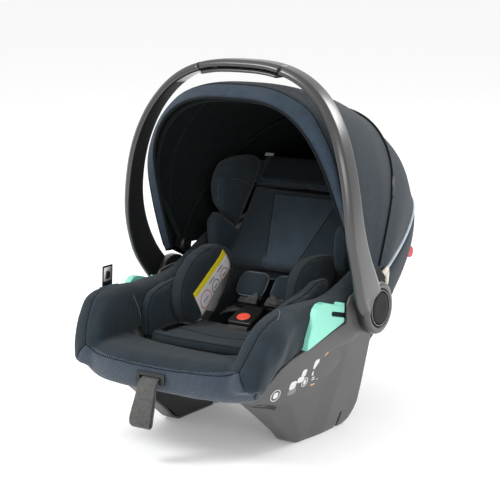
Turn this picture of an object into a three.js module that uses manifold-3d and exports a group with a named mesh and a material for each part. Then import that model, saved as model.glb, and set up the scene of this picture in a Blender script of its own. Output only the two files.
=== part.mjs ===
// Infant car seat (rear-facing carrier with a carry handle and a folding canopy).
// Millimetres. Origin on the floor in the middle of the seat, +Z up, -Y the foot end, +Y the head end,
// X across the seat. "side" is -1 for the left (-X) copy of a mirrored piece and 1 for the right one.

import * as THREE from "three";
import { mergeVertices } from "three/addons/utils/BufferGeometryUtils.js";
import Module from "manifold-3d";

const wasm = await Module();
wasm.setup();

// ---------------------------------------------------------------- driving dimensions

const GAP = 0.35; // air between neighbouring pieces
const SHELL_WALL = 4;
const COVER_SKIN = 4;
const BUCKET = { halfWidth: 182, front: -284, waist: -60, rear: 320.6, poleY: -10 };
const LINER = { inset: SHELL_WALL + GAP, thick: 9 };
const PIVOT = { y: -5, z: 204 }; // carry handle axis
const HUB = { radius: 42, inner: 190, outer: 208.5, recess: 31.3, recessFloor: 196 };
const PIN = { radius: 9, head: 15, inner: 165 };
const BUTTON = { radius: 25.6, inner: 201.6, outer: 209.2 };
const RING = { inner: 26.2, outer: 31, face: 208.9 };
const ARCH = { halfWidth: 220, baseZ: 270, rise: 319, power: 2.7, thick: 14 };
const GRIP_HALF = 77; // half length of the grip along X
const CANOPY = { y: -8, z: 268 }; // canopy bow axis
const BACKREST = { y: -42, z: 152, slope: 51 * (Math.PI / 180) };
const LEVER = { y: 258, z: 210 }; // rear release lever axis
const LATCH = { y: -18, z: 38, radius: 5 }; // hook shaft axis
const TO_MIDDLE = 10.4; // every Y in this file is 10.4 mm short of the finished frame's Y

// ---------------------------------------------------------------- small maths

const clamp = (value, low, high) => Math.min(high, Math.max(low, value));
const mix = (a, b, t) => a + (b - a) * t;
const signedPower = (value, power) => Math.sign(value) * Math.abs(value) ** power;

/** Reads a table of [at, value] pairs at any place, in straight lines between its rows. */
function read(table, at) {
  if (at <= table[0][0]) return table[0][1];
  for (let i = 1; i < table.length; i++) {
    if (at <= table[i][0]) {
      const [a, b] = [table[i - 1], table[i]];
      return mix(a[1], b[1], (at - a[0]) / (b[0] - a[0]));
    }
  }
  return table[table.length - 1][1];
}

// ---------------------------------------------------------------- solids

/** A geometry with only its shared positions, as the boolean library takes it. */
function bare(geometry) {
  const copy = geometry.clone();
  copy.deleteAttribute("normal");
  copy.deleteAttribute("uv");
  return mergeVertices(copy, 1e-3);
}

/** A three.js geometry as a manifold solid. */
function toSolid(geometry) {
  const merged = bare(geometry);
  const vertProperties = Float32Array.from(merged.attributes.position.array);
  const triVerts = Uint32Array.from(merged.index.array);
  return new wasm.Manifold(new wasm.Mesh({ numProp: 3, vertProperties, triVerts }));
}

/** A manifold solid as a three.js geometry. */
function toGeometry(solid) {
  const mesh = solid.getMesh();
  const geometry = new THREE.BufferGeometry();
  geometry.setAttribute("position", new THREE.Float32BufferAttribute(mesh.vertProperties, 3));
  geometry.setIndex(new THREE.BufferAttribute(Uint32Array.from(mesh.triVerts), 1));
  return geometry;
}

/** The largest body of a solid: what a cut leaves as loose crumbs is dropped. */
function largest(solid) {
  return solid.decompose().reduce((a, b) => (b.volume() > a.volume() ? b : a));
}

/** Cuts every tool away from a geometry. */
function cut(geometry, ...tools) {
  let solid = toSolid(geometry);
  for (const tool of tools) solid = solid.subtract(toSolid(tool));
  return toGeometry(largest(solid));
}

/** Joins geometries into one. */
function join(first, ...others) {
  let solid = toSolid(first);
  for (const other of others) solid = solid.add(toSolid(other));
  return toGeometry(solid);
}

/** The volume that two geometries share. */
function common(a, b) {
  return toGeometry(largest(toSolid(a).intersect(toSolid(b))));
}

/** The mirror image across the plane X = 0, with its faces still pointing out. */
function mirrored(geometry) {
  const copy = bare(geometry);
  copy.scale(-1, 1, 1);
  const index = copy.index.array;
  for (let i = 0; i < index.length; i += 3) [index[i], index[i + 1]] = [index[i + 1], index[i]];
  return copy;
}

const onSide = (geometry, side) => (side > 0 ? geometry : mirrored(geometry));

/** A closed body from rings of points, each ring the same length, with flat fans at both ends. */
function loft(rings) {
  const count = rings[0].length;
  const positions = rings.flat().flat();
  const index = [];
  for (let r = 0; r + 1 < rings.length; r++) {
    for (let i = 0; i < count; i++) {
      const [a, b] = [r * count + i, r * count + ((i + 1) % count)];
      index.push(a, b, b + count, a, b + count, a + count);
    }
  }
  for (const [r, flip] of [[0, true], [rings.length - 1, false]]) {
    const centre = positions.length / 3;
    const sum = [0, 1, 2].map((k) => rings[r].reduce((total, p) => total + p[k], 0) / count);
    positions.push(...sum);
    for (let i = 0; i < count; i++) {
      const [a, b] = [r * count + i, r * count + ((i + 1) % count)];
      index.push(...(flip ? [centre, b, a] : [centre, a, b]));
    }
  }
  return facingOut(positions, index);
}

/** A closed sheet of some thickness from an outer and an inner grid of points of the same size. */
function thickSheet(outer, inner) {
  const [rows, columns] = [outer.length, outer[0].length];
  const positions = [...outer.flat().flat(), ...inner.flat().flat()];
  const at = (layer, r, c) => layer * rows * columns + r * columns + c;
  const index = [];
  const quad = (a, b, c, d) => index.push(a, b, c, a, c, d);
  for (let r = 0; r + 1 < rows; r++) {
    for (let c = 0; c + 1 < columns; c++) {
      quad(at(0, r, c), at(0, r, c + 1), at(0, r + 1, c + 1), at(0, r + 1, c));
      quad(at(1, r, c), at(1, r + 1, c), at(1, r + 1, c + 1), at(1, r, c + 1));
    }
    quad(at(0, r, 0), at(0, r + 1, 0), at(1, r + 1, 0), at(1, r, 0));
    quad(at(0, r + 1, columns - 1), at(0, r, columns - 1), at(1, r, columns - 1), at(1, r + 1, columns - 1));
  }
  for (let c = 0; c + 1 < columns; c++) {
    quad(at(0, 0, c + 1), at(0, 0, c), at(1, 0, c), at(1, 0, c + 1));
    quad(at(0, rows - 1, c), at(0, rows - 1, c + 1), at(1, rows - 1, c + 1), at(1, rows - 1, c));
  }
  return facingOut(positions, index);
}

/** A geometry from flat lists, turned inside out if its volume comes out negative. */
function facingOut(positions, index) {
  let volume = 0;
  const point = (i) => new THREE.Vector3(...positions.slice(3 * i, 3 * i + 3));
  for (let i = 0; i < index.length; i += 3) {
    volume += point(index[i]).dot(point(index[i + 1]).cross(point(index[i + 2])));
  }
  if (volume < 0) {
    for (let i = 0; i < index.length; i += 3) [index[i], index[i + 1]] = [index[i + 1], index[i]];
  }
  const geometry = new THREE.BufferGeometry();
  geometry.setAttribute("position", new THREE.Float32BufferAttribute(positions, 3));
  geometry.setIndex(index);
  return mergeVertices(geometry, 1e-3);
}

/** An outline of [across, up] points, straight or smoothed into a closed curve. */
function outline(points, smooth = 0) {
  const corners = points.map(([a, b]) => new THREE.Vector2(a, b));
  if (!smooth) return new THREE.Shape(corners);
  const curve = new THREE.CatmullRomCurve3(corners.map((p) => new THREE.Vector3(p.x, p.y, 0)), true);
  return new THREE.Shape(curve.getSpacedPoints(smooth).slice(0, -1).map((p) => new THREE.Vector2(p.x, p.y)));
}

/** A slab of an outline in the YZ plane, from x = low to x = high, with an edge bevel. */
function slabX(shape, low, high, bevel = 0) {
  const geometry = new THREE.ExtrudeGeometry(shape, {
    depth: high - low - 2 * bevel,
    bevelEnabled: bevel > 0,
    bevelThickness: bevel,
    bevelSize: bevel,
    bevelOffset: -bevel,
    bevelSegments: 2,
    curveSegments: 6,
  });
  geometry.translate(0, 0, bevel);
  geometry.applyMatrix4(new THREE.Matrix4().set(0, 0, 1, low, 1, 0, 0, 0, 0, 1, 0, 0, 0, 0, 0, 1));
  return geometry;
}

/** A round bar along X. */
function barX(radius, low, high, y, z, sides = 24) {
  const geometry = new THREE.CylinderGeometry(radius, radius, high - low, sides);
  geometry.rotateZ(-Math.PI / 2);
  geometry.translate((low + high) / 2, y, z);
  return geometry;
}

/** A tube of a round section along a list of [x, y, z] points. */
function tube(points, radius, steps, sides = 8, closed = false) {
  const path = new THREE.CatmullRomCurve3(points.map((p) => new THREE.Vector3(...p)), closed, "centripetal");
  const section = new THREE.Shape();
  section.absarc(0, 0, radius, 0, 2 * Math.PI, false);
  return new THREE.ExtrudeGeometry(section, {
    extrudePath: path,
    steps,
    curveSegments: sides / 2,
    bevelEnabled: false,
  });
}

/** Moves a geometry built in (across, up the back, out of the back) to the backrest. */
function onBackrest(geometry) {
  const [c, s] = [Math.cos(BACKREST.slope), Math.sin(BACKREST.slope)];
  geometry.applyMatrix4(
    new THREE.Matrix4().set(1, 0, 0, 0, 0, c, -s, BACKREST.y, 0, s, c, BACKREST.z, 0, 0, 0, 1),
  );
  return geometry;
}

/** A pad on the backrest: an outline in (across, up the back) between two depths out of the back. */
function backPad(points, low, high, bevel, smooth = 0) {
  const geometry = new THREE.ExtrudeGeometry(outline(points, smooth), {
    depth: high - low - 2 * bevel,
    bevelEnabled: true,
    bevelThickness: bevel,
    bevelSize: bevel,
    bevelOffset: -bevel,
    bevelSegments: 2,
    curveSegments: 6,
  });
  geometry.translate(0, 0, low + bevel);
  return onBackrest(geometry);
}

/** A webbing strap that follows points in the YZ plane, flat across X. */
function strapX(points, centre, width, thick) {
  const path = points.map(([y, z]) => new THREE.Vector2(y, z));
  const rings = path.map((p, i) => {
    const before = p.clone().sub(path[Math.max(i - 1, 0)]).normalize();
    const after = path[Math.min(i + 1, path.length - 1)].clone().sub(p).normalize();
    const along = before.add(after).normalize();
    const [ny, nz] = [(-along.y * thick) / 2, (along.x * thick) / 2];
    const x = typeof centre === "function" ? centre(i / (path.length - 1)) : centre;
    return [[-1, -1], [1, -1], [1, 1], [-1, 1]].map(([e, f]) => [x + (e * width) / 2, p.x + f * ny, p.y + f * nz]);
  });
  return loft(rings);
}

// ---------------------------------------------------------------- the seat bucket's surface

const RIM_Z = [
  [-284, 118], [-250, 130], [-211, 151], [-166, 166], [-116, 176], [-70, 186], [-30, 204], [0, 222],
  [47, 241], [101, 264], [142, 281], [200, 305], [265, 327], [321, 335],
];
const FLOOR_Z = [
  [-284, 104], [-250, 92], [-200, 78], [-150, 60], [-100, 52], [0, 52], [60, 68], [120, 102],
  [180, 146], [240, 186], [300, 226], [321, 250],
];

/** Half outline of the bucket seen from above: a blunt foot end and a rounder head end. */
function bucketOutline(angle, grow) {
  const [s, c] = [Math.sin(angle), Math.cos(angle)];
  const towardsHead = c > 0;
  const power = towardsHead ? 2.4 : 2.7;
  const length = towardsHead ? BUCKET.rear - BUCKET.waist : BUCKET.waist - BUCKET.front;
  const x = (BUCKET.halfWidth + grow) * signedPower(s, 2 / power);
  const y = BUCKET.waist + (length + grow) * signedPower(c, 2 / power);
  return [x, y];
}

/** A point of the bucket: angle around from the head end, latitude from the rim (0) to the floor (1). */
function bucketPoint(angle, latitude, grow) {
  const [rimX, rimY] = bucketOutline(angle, grow);
  const turn = (latitude * Math.PI) / 2;
  const headSide = clamp((Math.cos(angle) - 0.2) / 0.8, 0, 1);
  const side = clamp(1 - Math.abs(Math.cos(angle) - 0.45) / 0.4, 0, 1);
  const power = mix(2.7, 3.1, headSide) - 0.6 * side;
  const inPlane = latitude >= 1 ? 0 : Math.cos(turn) ** (2 / power);
  const depth = latitude <= 0 ? 0 : Math.sin(turn) ** (2 / power);
  const [x, y] = [rimX * inPlane, mix(BUCKET.poleY, rimY, inPlane)];
  const floor = read(FLOOR_Z, y) - grow;
  return [x, y, mix(read(RIM_Z, rimY), floor, depth)];
}

/** The bucket as a filled body, grown outwards by some amount, with straight walls above the rim. */
function bucketFilled(grow, raise = 0, around = 32, rows = 6) {
  const rings = [];
  for (let r = 0; r < rows; r++) {
    const ring = [];
    for (let i = 0; i < around; i++) {
      ring.push(bucketPoint((2 * Math.PI * i) / around, (r / rows) ** 0.9, grow));
    }
    rings.push(ring);
  }
  if (raise > 0) rings.unshift(rings[0].map(([x, y, z]) => [x, y, z + raise]));
  return loft(rings);
}

const material = (color, roughness, metalness = 0) =>
  new THREE.MeshStandardMaterial({ color, roughness, metalness });

const finishes = {
  plastic: material(0x6f7073, 0.55),
  blackPlastic: material(0x1b1c1e, 0.5),
  foam: material(0xe8e8e6, 0.9),
  navy: material(0x2f3944, 0.85),
  navyLight: material(0x44505f, 0.85),
  navyDark: material(0x161d22, 0.9),
  mint: material(0x8eecd2, 0.45),
  webbing: material(0x4a4947, 0.8),
  steel: material(0xb8babd, 0.3, 1),
  handle: material(0x55565a, 0.35, 0.7),
  red: material(0xc8202a, 0.4),
  coral: material(0xff6b5a, 0.4),
  piping: material(0xc3cdd6, 0.5),
};

const group = new THREE.Group();

/** Adds one named sub-part, moved so that the origin is under the middle of the whole seat. */
function add(name, geometry, finish) {
  const mesh = new THREE.Mesh(bare(geometry).translate(0, TO_MIDDLE, 0), finishes[finish]);
  mesh.name = name;
  group.add(mesh);
}

const SIDES = [["left", -1], ["right", 1]];

// ---------------------------------------------------------------- hard shell

const bucketKeepOut = bucketFilled(1.8, 60);
const bucketBody = bucketFilled(0);
const bucketHollow = bucketFilled(-SHELL_WALL, 40);
const pinWay = (radius, low, high) => barX(radius, low, high, PIVOT.y, PIVOT.z);
const bothPinWays = [pinWay(PIN.radius + 0.5, 150, 230), pinWay(PIN.radius + 0.5, -230, -150)];
const bothHeadWays = [pinWay(PIN.head + 1, 150, 182), pinWay(PIN.head + 1, -182, -150)];
add("seat_shell", cut(bucketBody, bucketHollow, ...bothPinWays), "blackPlastic");

/** Expanded foam liner that lies in the shell, lower than its rim. */
function foamLiner() {
  const outer = bucketFilled(-LINER.inset);
  const inner = bucketFilled(-LINER.inset - LINER.thick, 40);
  return cut(outer, inner, ...bothHeadWays);
}
add("foam_liner", foamLiner(), "foam");

/** How far out the side panel's face lies at a height, and how much the foot end pulls it in. */
const PANEL_FACE = [
  [0, 120], [36, 143], [49, 150], [88, 166], [128, 180], [157, 190], [173, 192], [200, 188], [240, 184],
];
const PANEL_PULL = [[-275, 36], [-245, 25], [-220, 18], [-190, 13], [-150, 9], [-100, 5], [-60, 0]];
const panelFace = (y, z, grow) => read(PANEL_FACE, z) - read(PANEL_PULL, y) + grow;

/** Everything between x = low and the side panel's face, in a box of Y and Z. */
function behindPanelFace(low, grow) {
  const [ySteps, zSteps] = [9, 12];
  const grid = (x) =>
    Array.from({ length: zSteps + 1 }, (_, r) =>
      Array.from({ length: ySteps + 1 }, (_, c) => {
        const [y, z] = [mix(-300, 60, c / ySteps), mix(-20, 260, r / zSteps)];
        return [x(y, z), y, z];
      }),
    );
  return thickSheet(grid((y, z) => panelFace(y, clamp(z, 0, 240), grow)), grid(() => low));
}

const PANEL_OUTLINE = [
  [-255, 100], [-270, 103], [-264, 113], [-242, 127], [-228, 148], [-211, 159], [-193, 165], [-166, 171],
  [-116, 182], [-72, 191], [-68, 218], [-58, 230], [-30, 234], [0, 236], [22, 226], [30, 205], [22, 178],
  [8, 157], [14, 128], [18, 88], [26, 49], [28, 36], [25, 21], [16, 7], [6, 0],
  [-14, 0], [-14, 29], [-22, 29], [-22, 0], [-125, 0],
];
const PANEL_HOLLOW = [
  [-252, 104], [-290, 108], [-290, 260], [60, 260], [60, 157], [4, 157], [10, 128], [14, 88],
  [22, 49], [24, 36], [21, 24], [12, 11], [4, 4], [-9, 4], [-9, 34], [-27, 34], [-27, 4], [-123, 4],
];

/** Grey side panel with its foot: an outer wall with flanges turned in along the front, bottom and rear. */
function sidePanel() {
  const solid = common(behindPanelFace(101, 0), slabX(outline(PANEL_OUTLINE), 95, 230));
  const hollow = common(behindPanelFace(90, -4), slabX(outline(PANEL_HOLLOW), 80, 230));
  const hookRoom = slabX(outline([[-48, 4], [-4, 4], [-4, 50], [-48, 50]]), 100, 116);
  const pinHole = pinWay(PIN.radius + GAP, 150, 230);
  const hubRoom = pinWay(HUB.radius + 1, HUB.inner - 1, 230);
  return cut(solid, hollow, hookRoom, bucketKeepOut, pinHole, hubRoom);
}

const INNER_COVER = [
  [-244.5, 99.2], [-250.8, 104.7], [-254, 108], [-180, 130], [-60, 140], [6, 128], [13, 88], [21, 49], [23, 36], [20, 24],
  [11.4, 11.7], [3.4, 4.6], [-8.6, 4.4], [-8.6, 34.4], [-27.4, 34.4], [-27.4, 4.4], [-122, 4.4],
];

/** Black cover that closes the foot from the inside. */
function footCover() {
  const plate = slabX(outline(INNER_COVER), 101.4, 104.4);
  const shaftHole = barX(LATCH.radius + 0.6, 90, 120, LATCH.y, LATCH.z);
  return cut(plate, bucketKeepOut, shaftHole);
}

/** Mint plate that the vehicle's lap belt runs over, with a hook slot open to the rear. */
const GUIDE_OUTLINE = [
  [-181, 168.6], [-176, 186], [-153, 227], [-144, 233], [-132, 233.5], [-90, 221.5], [-84, 225], [-73, 222],
  [-73.6, 206.5], [-109, 215.5], [-112, 212], [-109, 208], [-73.6, 199], [-73.6, 191.4], [-116, 182.6], [-166, 171.6],
];
const beltGuide = () => slabX(outline(GUIDE_OUTLINE), 172, 183.5, 1.2);

for (const [name, side] of SIDES) {
  add(`side_panel_${name}`, onSide(sidePanel(), side), "plastic");
  add(`foot_cover_${name}`, onSide(footCover(), side), "blackPlastic");
  add(`belt_guide_${name}`, onSide(beltGuide(), side), "mint");
}

/** Steel pin that the carry handle turns on, through the shell wall into the hub. */
const pivotPin = () =>
  join(
    pinWay(PIN.radius, PIN.inner, HUB.recessFloor - 2),
    pinWay(PIN.head, PIN.inner - 4, PIN.inner + 1),
  );
for (const [name, side] of SIDES) add(`pivot_pin_${name}`, onSide(pivotPin(), side), "steel");

/** Fabric cover stretched over the head end of the shell, below its rim. */
function headCover() {
  const [around, rows] = [22, 6];
  const grid = (grow) =>
    Array.from({ length: rows + 1 }, (_, r) =>
      Array.from({ length: around + 1 }, (_, c) =>
        bucketPoint(mix(-1.38, 1.38, c / around), mix(0, 0.72, r / rows), grow)),
    );
  const panels = slabX(outline(PANEL_OUTLINE), 90, 230);
  panels.translate(0, 0.8, 0);
  return cut(thickSheet(grid(COVER_SKIN), grid(-SHELL_WALL)), bucketFilled(GAP, 30), panels, mirrored(panels));
}
add("head_end_cover", headCover(), "navy");

/** Piping sewn along the cover's top edge. */
function rimPiping() {
  const points = [];
  for (let i = 0; i <= 16; i++) {
    const [x, y, z] = bucketPoint(mix(-1.36, 1.36, i / 16), 0, COVER_SKIN / 2);
    points.push([x, y, z + 3.4]);
  }
  return tube(points, 2.6, 40, 6);
}
add("rim_piping", rimPiping(), "piping");

// ---------------------------------------------------------------- release lever and latch

const LEVER_BAR = { y: 299, z: 232, radius: 8, half: 88 };

/** Bar across the back with two arms down to its hinge. */
function releaseLever() {
  const bar = barX(LEVER_BAR.radius, -LEVER_BAR.half, LEVER_BAR.half, LEVER_BAR.y, LEVER_BAR.z, 16);
  const arm = outline([
    [LEVER.y - 6, LEVER.z - 6], [LEVER.y + 6, LEVER.z - 7], [LEVER_BAR.y + 3, LEVER_BAR.z - 6],
    [LEVER_BAR.y - 4, LEVER_BAR.z + 5], [LEVER.y - 4, LEVER.z + 6],
  ]);
  const arms = [slabX(arm, 50, 58), slabX(arm, -58, -50)];
  const pivots = [barX(4, 50, 63, LEVER.y, LEVER.z, 12), barX(4, -63, -50, LEVER.y, LEVER.z, 12)];
  return join(bar, ...arms, ...pivots);
}
add("release_lever", releaseLever(), "blackPlastic");

/** Bracket under the shell that the lever's pivot turns in. */
function leverBracket() {
  const ear = outline([
    [LEVER.y - 12, LEVER.z - 9], [LEVER.y + 8, LEVER.z - 9], [LEVER.y + 12, LEVER.z + 40],
    [LEVER.y - 22, LEVER.z + 30],
  ]);
  return cut(slabX(ear, 58.6, 66), bucketFilled(COVER_SKIN + 1.5), barX(4.4, 50, 63.6, LEVER.y, LEVER.z, 12));
}
for (const [name, side] of SIDES) {
  const end = barX(LEVER_BAR.radius + 2, LEVER_BAR.half + GAP, LEVER_BAR.half + 9, LEVER_BAR.y, LEVER_BAR.z, 20);
  add(`lever_cap_${name}`, onSide(end, side), "red");
  add(`lever_bracket_${name}`, onSide(leverBracket(), side), "blackPlastic");
}

/** Shaft across the feet with the two hooks that close over the base's bar. */
function latchHooks() {
  const hook = outline([
    [-9, 46], [-27, 46], [-34, 36], [-34, 14], [-28, 7], [-14, 7], [-12, 12], [-24, 15], [-25, 27], [-9, 30],
  ]);
  const shaft = barX(LATCH.radius, -114, 114, LATCH.y, LATCH.z, 16);
  return join(shaft, slabX(hook, 106, 112), slabX(hook, -112, -106));
}
add("latch_hooks", latchHooks(), "steel");

// ---------------------------------------------------------------- carry handle

const archX = (turn, inset) => (ARCH.halfWidth - inset) * Math.cos(turn) ** (2 / ARCH.power);
const archZ = (turn, inset) => ARCH.baseZ + (ARCH.rise - inset) * Math.sin(turn) ** (2 / ARCH.power);
const LEG_FRONT = [
  [196, -44], [209, -60], [248, -87], [295, -106], [334, -114], [400, -115], [450, -113], [500, -107],
  [540, -101], [589, -97],
];
const LEG_REAR = [
  [196, 30], [225, 2], [246, -18], [285, -46], [324, -64], [360, -73], [400, -76], [450, -75], [500, -70],
  [540, -65], [589, -61],
];
const LEG_FOOT = [
  [190, 208], [215, 210.5], [235, 214.5], [252, 218],
];
const GRIP_TURN = Math.acos((GRIP_HALF / ARCH.halfWidth) ** (ARCH.power / 2));

/** One ring of the handle: eight corners of a bevelled bar between an outer and an inner point. */
function handleRing([outX, outZ], [inX, inZ], front, rear) {
  const bevel = 0.28;
  const at = (depth, along) => [mix(outX, inX, depth), mix(front, rear, along), mix(outZ, inZ, depth)];
  return [
    at(0, 0.16), at(0, 0.88), at(bevel, 1), at(1 - bevel / 2, 1),
    at(1, 0.92), at(1, 0.08), at(1 - bevel / 2, 0), at(0.5, 0),
  ];
}

/** A stretch of the arch between two turns, from one depth under its outer face to another. */
function archRings(fromTurn, toTurn, steps, shallow, deep) {
  const rings = [];
  for (let i = 0; i <= steps; i++) {
    const turn = mix(fromTurn, toTurn, i / steps);
    const [a, b] = [Math.max(Math.sin(turn), 1e-9), Math.max(Math.cos(turn), 1e-9)];
    const normal = new THREE.Vector2(b / ARCH.halfWidth, a / ARCH.rise).normalize();
    const [x, z] = [archX(turn, 0), archZ(turn, 0)];
    const point = (depth) => [x - normal.x * depth, z - normal.y * depth];
    rings.push(handleRing(point(shallow), point(deep), read(LEG_FRONT, z), read(LEG_REAR, z)));
  }
  return rings;
}

/** One leg of the carry handle with its hub, recessed for the lock button. */
function handleLeg() {
  const foot = LEG_FOOT.map(([z, x]) =>
    handleRing([x, z], [Math.max(x - ARCH.thick, HUB.inner + 1), z], read(LEG_FRONT, z), read(LEG_REAR, z)));
  const arch = archRings(0.02, GRIP_TURN - 0.006, 16, 0, ARCH.thick);
  const hub = pinWay(HUB.radius, HUB.inner, HUB.outer);
  const leg = join(loft([...foot, ...arch]), hub);
  const recess = pinWay(HUB.recess, HUB.recessFloor, 240);
  const bore = pinWay(PIN.radius + 0.2, 180, 240);
  return cut(leg, recess, bore);
}

/** The two shells of the grip: one above the other. */
function grip(shallow, deep) {
  const right = archRings(GRIP_TURN + 0.006, Math.PI / 2, 5, shallow, deep);
  const left = right.slice(0, -1).reverse().map((ring) => ring.map(([x, y, z]) => [-x, y, z]));
  return loft([...right, ...left]);
}

/** A ring round the X axis of the hub. */
const washer = (outer, inner, low, high) => cut(pinWay(outer, low, high), pinWay(inner, low - 1, high + 1));

for (const [name, side] of SIDES) {
  add(`handle_leg_${name}`, onSide(handleLeg(), side), "handle");
  add(`hub_ring_${name}`, onSide(washer(RING.outer, RING.inner, HUB.recessFloor + GAP, RING.face), side), "blackPlastic");
  add(`lock_button_${name}`, onSide(pinWay(BUTTON.radius, BUTTON.inner, BUTTON.outer), side), "blackPlastic");
}
add("grip_top", grip(0, 12), "handle");
add("grip_bottom", grip(12 + GAP, 20), "handle");

// ---------------------------------------------------------------- canopy

/** A canopy arch: a superellipse across X with its own height and its own lean. */
const RIM_ARCH = { half: 174, base: 276, top: 531, power: 3, y: (z) => -55 - 65 * Math.sin(clamp((z - 318) / 213, 0, 1) * (Math.PI / 2)) };
const CREST_ARCH = { half: 193, base: 262, top: 551, power: 2.9, y: (z) => mix(-42, -94, clamp((z - 262) / 150, 0, 1) ** 0.7) };
const SAG_ARCH = { half: 196, base: 262, top: 528, power: 2.5, y: (z) => mix(0, 66, (z - 262) / 266) };
const MID_ARCH = { half: 196, base: 268, top: 491, power: 2.15, y: (z) => mix(CANOPY.y, 181, (z - 268) / 223) };

function archPoint(arch, turn, inset = 0) {
  const x = (arch.half - inset) * signedPower(Math.cos(turn), 2 / arch.power);
  const z = arch.base + (arch.top - inset - arch.base) * Math.abs(Math.sin(turn)) ** (2 / arch.power);
  return [x, arch.y(z), z];
}

/** A sheet between arches, smoothed across them, over the share of the way from the first to the last. */
function canopySheet(arches, across, thick, reach) {
  const around = 20;
  const grid = (inset) => {
    const rows = [];
    for (let r = 0; r <= across; r++) {
      const row = [];
      for (let c = 0; c <= around; c++) {
        const column = arches.map((arch) => new THREE.Vector3(...arch(c / around, inset)));
        const share = mix(reach[0], reach[1], r / across);
        row.push(new THREE.CatmullRomCurve3(column, false, "centripetal").getPoint(share).toArray());
      }
      rows.push(row);
    }
    return rows;
  };
  return thickSheet(grid(0), grid(thick));
}

const FABRIC_START = 0.1; // how far up its arch the canopy's fabric begins, in radians
const onArch = (arch) => (share, inset) => archPoint(arch, mix(FABRIC_START, Math.PI - FABRIC_START, share), inset);
const HEAD_REACH = 1.28; // half the angle that the canopy's rear edge covers round the head end

/** The canopy's rear edge, just above the piping. */
function rearEdge(share, inset) {
  const [x, y, z] = bucketPoint(mix(HEAD_REACH, -HEAD_REACH, share), 0, COVER_SKIN - 1 - inset);
  return [x, y, z + 7];
}

/** Halfway between the middle bow and the rear edge, pushed out. */
function rearBulge(share, inset) {
  const [a, b] = [archPoint(MID_ARCH, mix(FABRIC_START, Math.PI - FABRIC_START, share), inset), rearEdge(share, inset)];
  const swell = 1 + 0.085 * Math.sin(Math.PI * share);
  return [mix(a[0], b[0], 0.5) * 1.03, 60 + (mix(a[1], b[1], 0.5) - 60) * swell, 250 + (mix(a[2], b[2], 0.5) - 250) * swell];
}

add("canopy_front_fabric", canopySheet([RIM_ARCH, CREST_ARCH, SAG_ARCH, MID_ARCH].map(onArch), 7, 2.5, [0, 0.985]), "navy");
add("canopy_rear_fabric", canopySheet([(s, i) => onArch(MID_ARCH)(s, i), rearBulge, rearEdge], 6, 2.5, [0.01, 1]), "navy");

// ---------------------------------------------------------------- canopy frame

const BOW_HUB = { radius: 9, bore: 4.35, middle: [178, 183], front: [172, 177.6] };
const FRONT_BOW = {
  half: 176, base: 276, top: 527, power: 2.9,
  y: (z) => (RIM_ARCH.y(z) + CREST_ARCH.y(z)) / 2 + 8,
};

/** A canopy bow: an arch with a hub at each end, on the canopy's axis. */
function canopyBow(arch, inset, radius, [low, high], shoulder) {
  const path = [[shoulder[0], CANOPY.y, CANOPY.z], shoulder];
  for (let i = 0; i <= 14; i++) path.push(archPoint(arch, mix(0.24, Math.PI - 0.24, i / 14), inset));
  const [[x0, y0, z0], [x1, y1, z1]] = path;
  path.push([-x1, y1, z1], [-x0, y0, z0]);
  const hub = barX(BOW_HUB.radius, low, high, CANOPY.y, CANOPY.z, 20);
  const bore = barX(BOW_HUB.bore, -200, 200, CANOPY.y, CANOPY.z, 16);
  return cut(join(tube(path, radius, 30, 6), hub, mirrored(hub)), bore);
}
add("canopy_middle_bow", canopyBow(MID_ARCH, 8, 3.2, BOW_HUB.middle, [181.2, 9, 287]), "steel");
add("canopy_front_bow", canopyBow(FRONT_BOW, 0, 3.6, BOW_HUB.front, [173.8, -30, 300]), "steel");

/** Clip on the shell's edge with the peg that the bows turn on. */
function canopyClip() {
  const plate = outline([[-22, 258], [-20, 276], [4, 280], [15, 270], [45, 243], [38, 230], [25, 236]]);
  return join(slabX(plate, 184.6, 189.3, 1), barX(4, 171.7, 190.2, CANOPY.y, CANOPY.z, 16));
}
for (const [name, side] of SIDES) add(`canopy_clip_${name}`, onSide(canopyClip(), side), "blackPlastic");

// ---------------------------------------------------------------- seat cushions

/** A box between two corners. */
function block(x0, x1, y0, y1, z0, z1) {
  const geometry = new THREE.BoxGeometry(x1 - x0, y1 - y0, z1 - z0);
  geometry.translate((x0 + x1) / 2, (y0 + y1) / 2, (z0 + z1) / 2);
  return geometry;
}

const LINED = -LINER.inset - LINER.thick - GAP; // how far inside the bucket's surface the cushions begin
const wallBand = cut(bucketFilled(GAP, 2.5), bucketFilled(LINED - 1, 60));
const panelSlab = slabX(outline(PANEL_OUTLINE), 90, 230);
const panelInTheWay = join(panelSlab, panelSlab.clone().translate(0, -0.5, 0.7));
const ROLL = { halfWidth: 196, front: -325, waist: -60, rear: -205, power: 4 };
const ROLL_RINGS = [ // height, and how far the roll stands out of its plan outline there
  [100, -32], [108, -14], [122, -4], [138, 0], [152, -2], [163, -10], [168, -22], [166, -60], [158, -110],
];
const ADJUSTER = { half: 23, front: -318, rear: -288, low: 121, high: 145, strapZ: 133 };
const SLOT = { x: 0, half: 21.5, low: 129, high: 137 };

/** The padded roll round the foot end, before it is fitted over the bucket. */
function footRoll(grow) {
  const rings = ROLL_RINGS.map(([z, out]) => {
    const ring = [];
    for (let i = 0; i <= 20; i++) {
      const angle = Math.PI * (0.5 + i / 20);
      const x = (ROLL.halfWidth + out + grow) * signedPower(Math.sin(angle), 2 / ROLL.power);
      const length = ROLL.waist - ROLL.front + out + grow;
      const y = ROLL.waist + length * signedPower(Math.cos(angle), 2 / ROLL.power);
      ring.push([x, i % 20 ? y : ROLL.waist, z + (z > 130 ? grow : -grow)]);
    }
    return ring;
  });
  return common(loft(rings), block(-230, 230, -360, ROLL.rear + grow, 90, 190));
}

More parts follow.
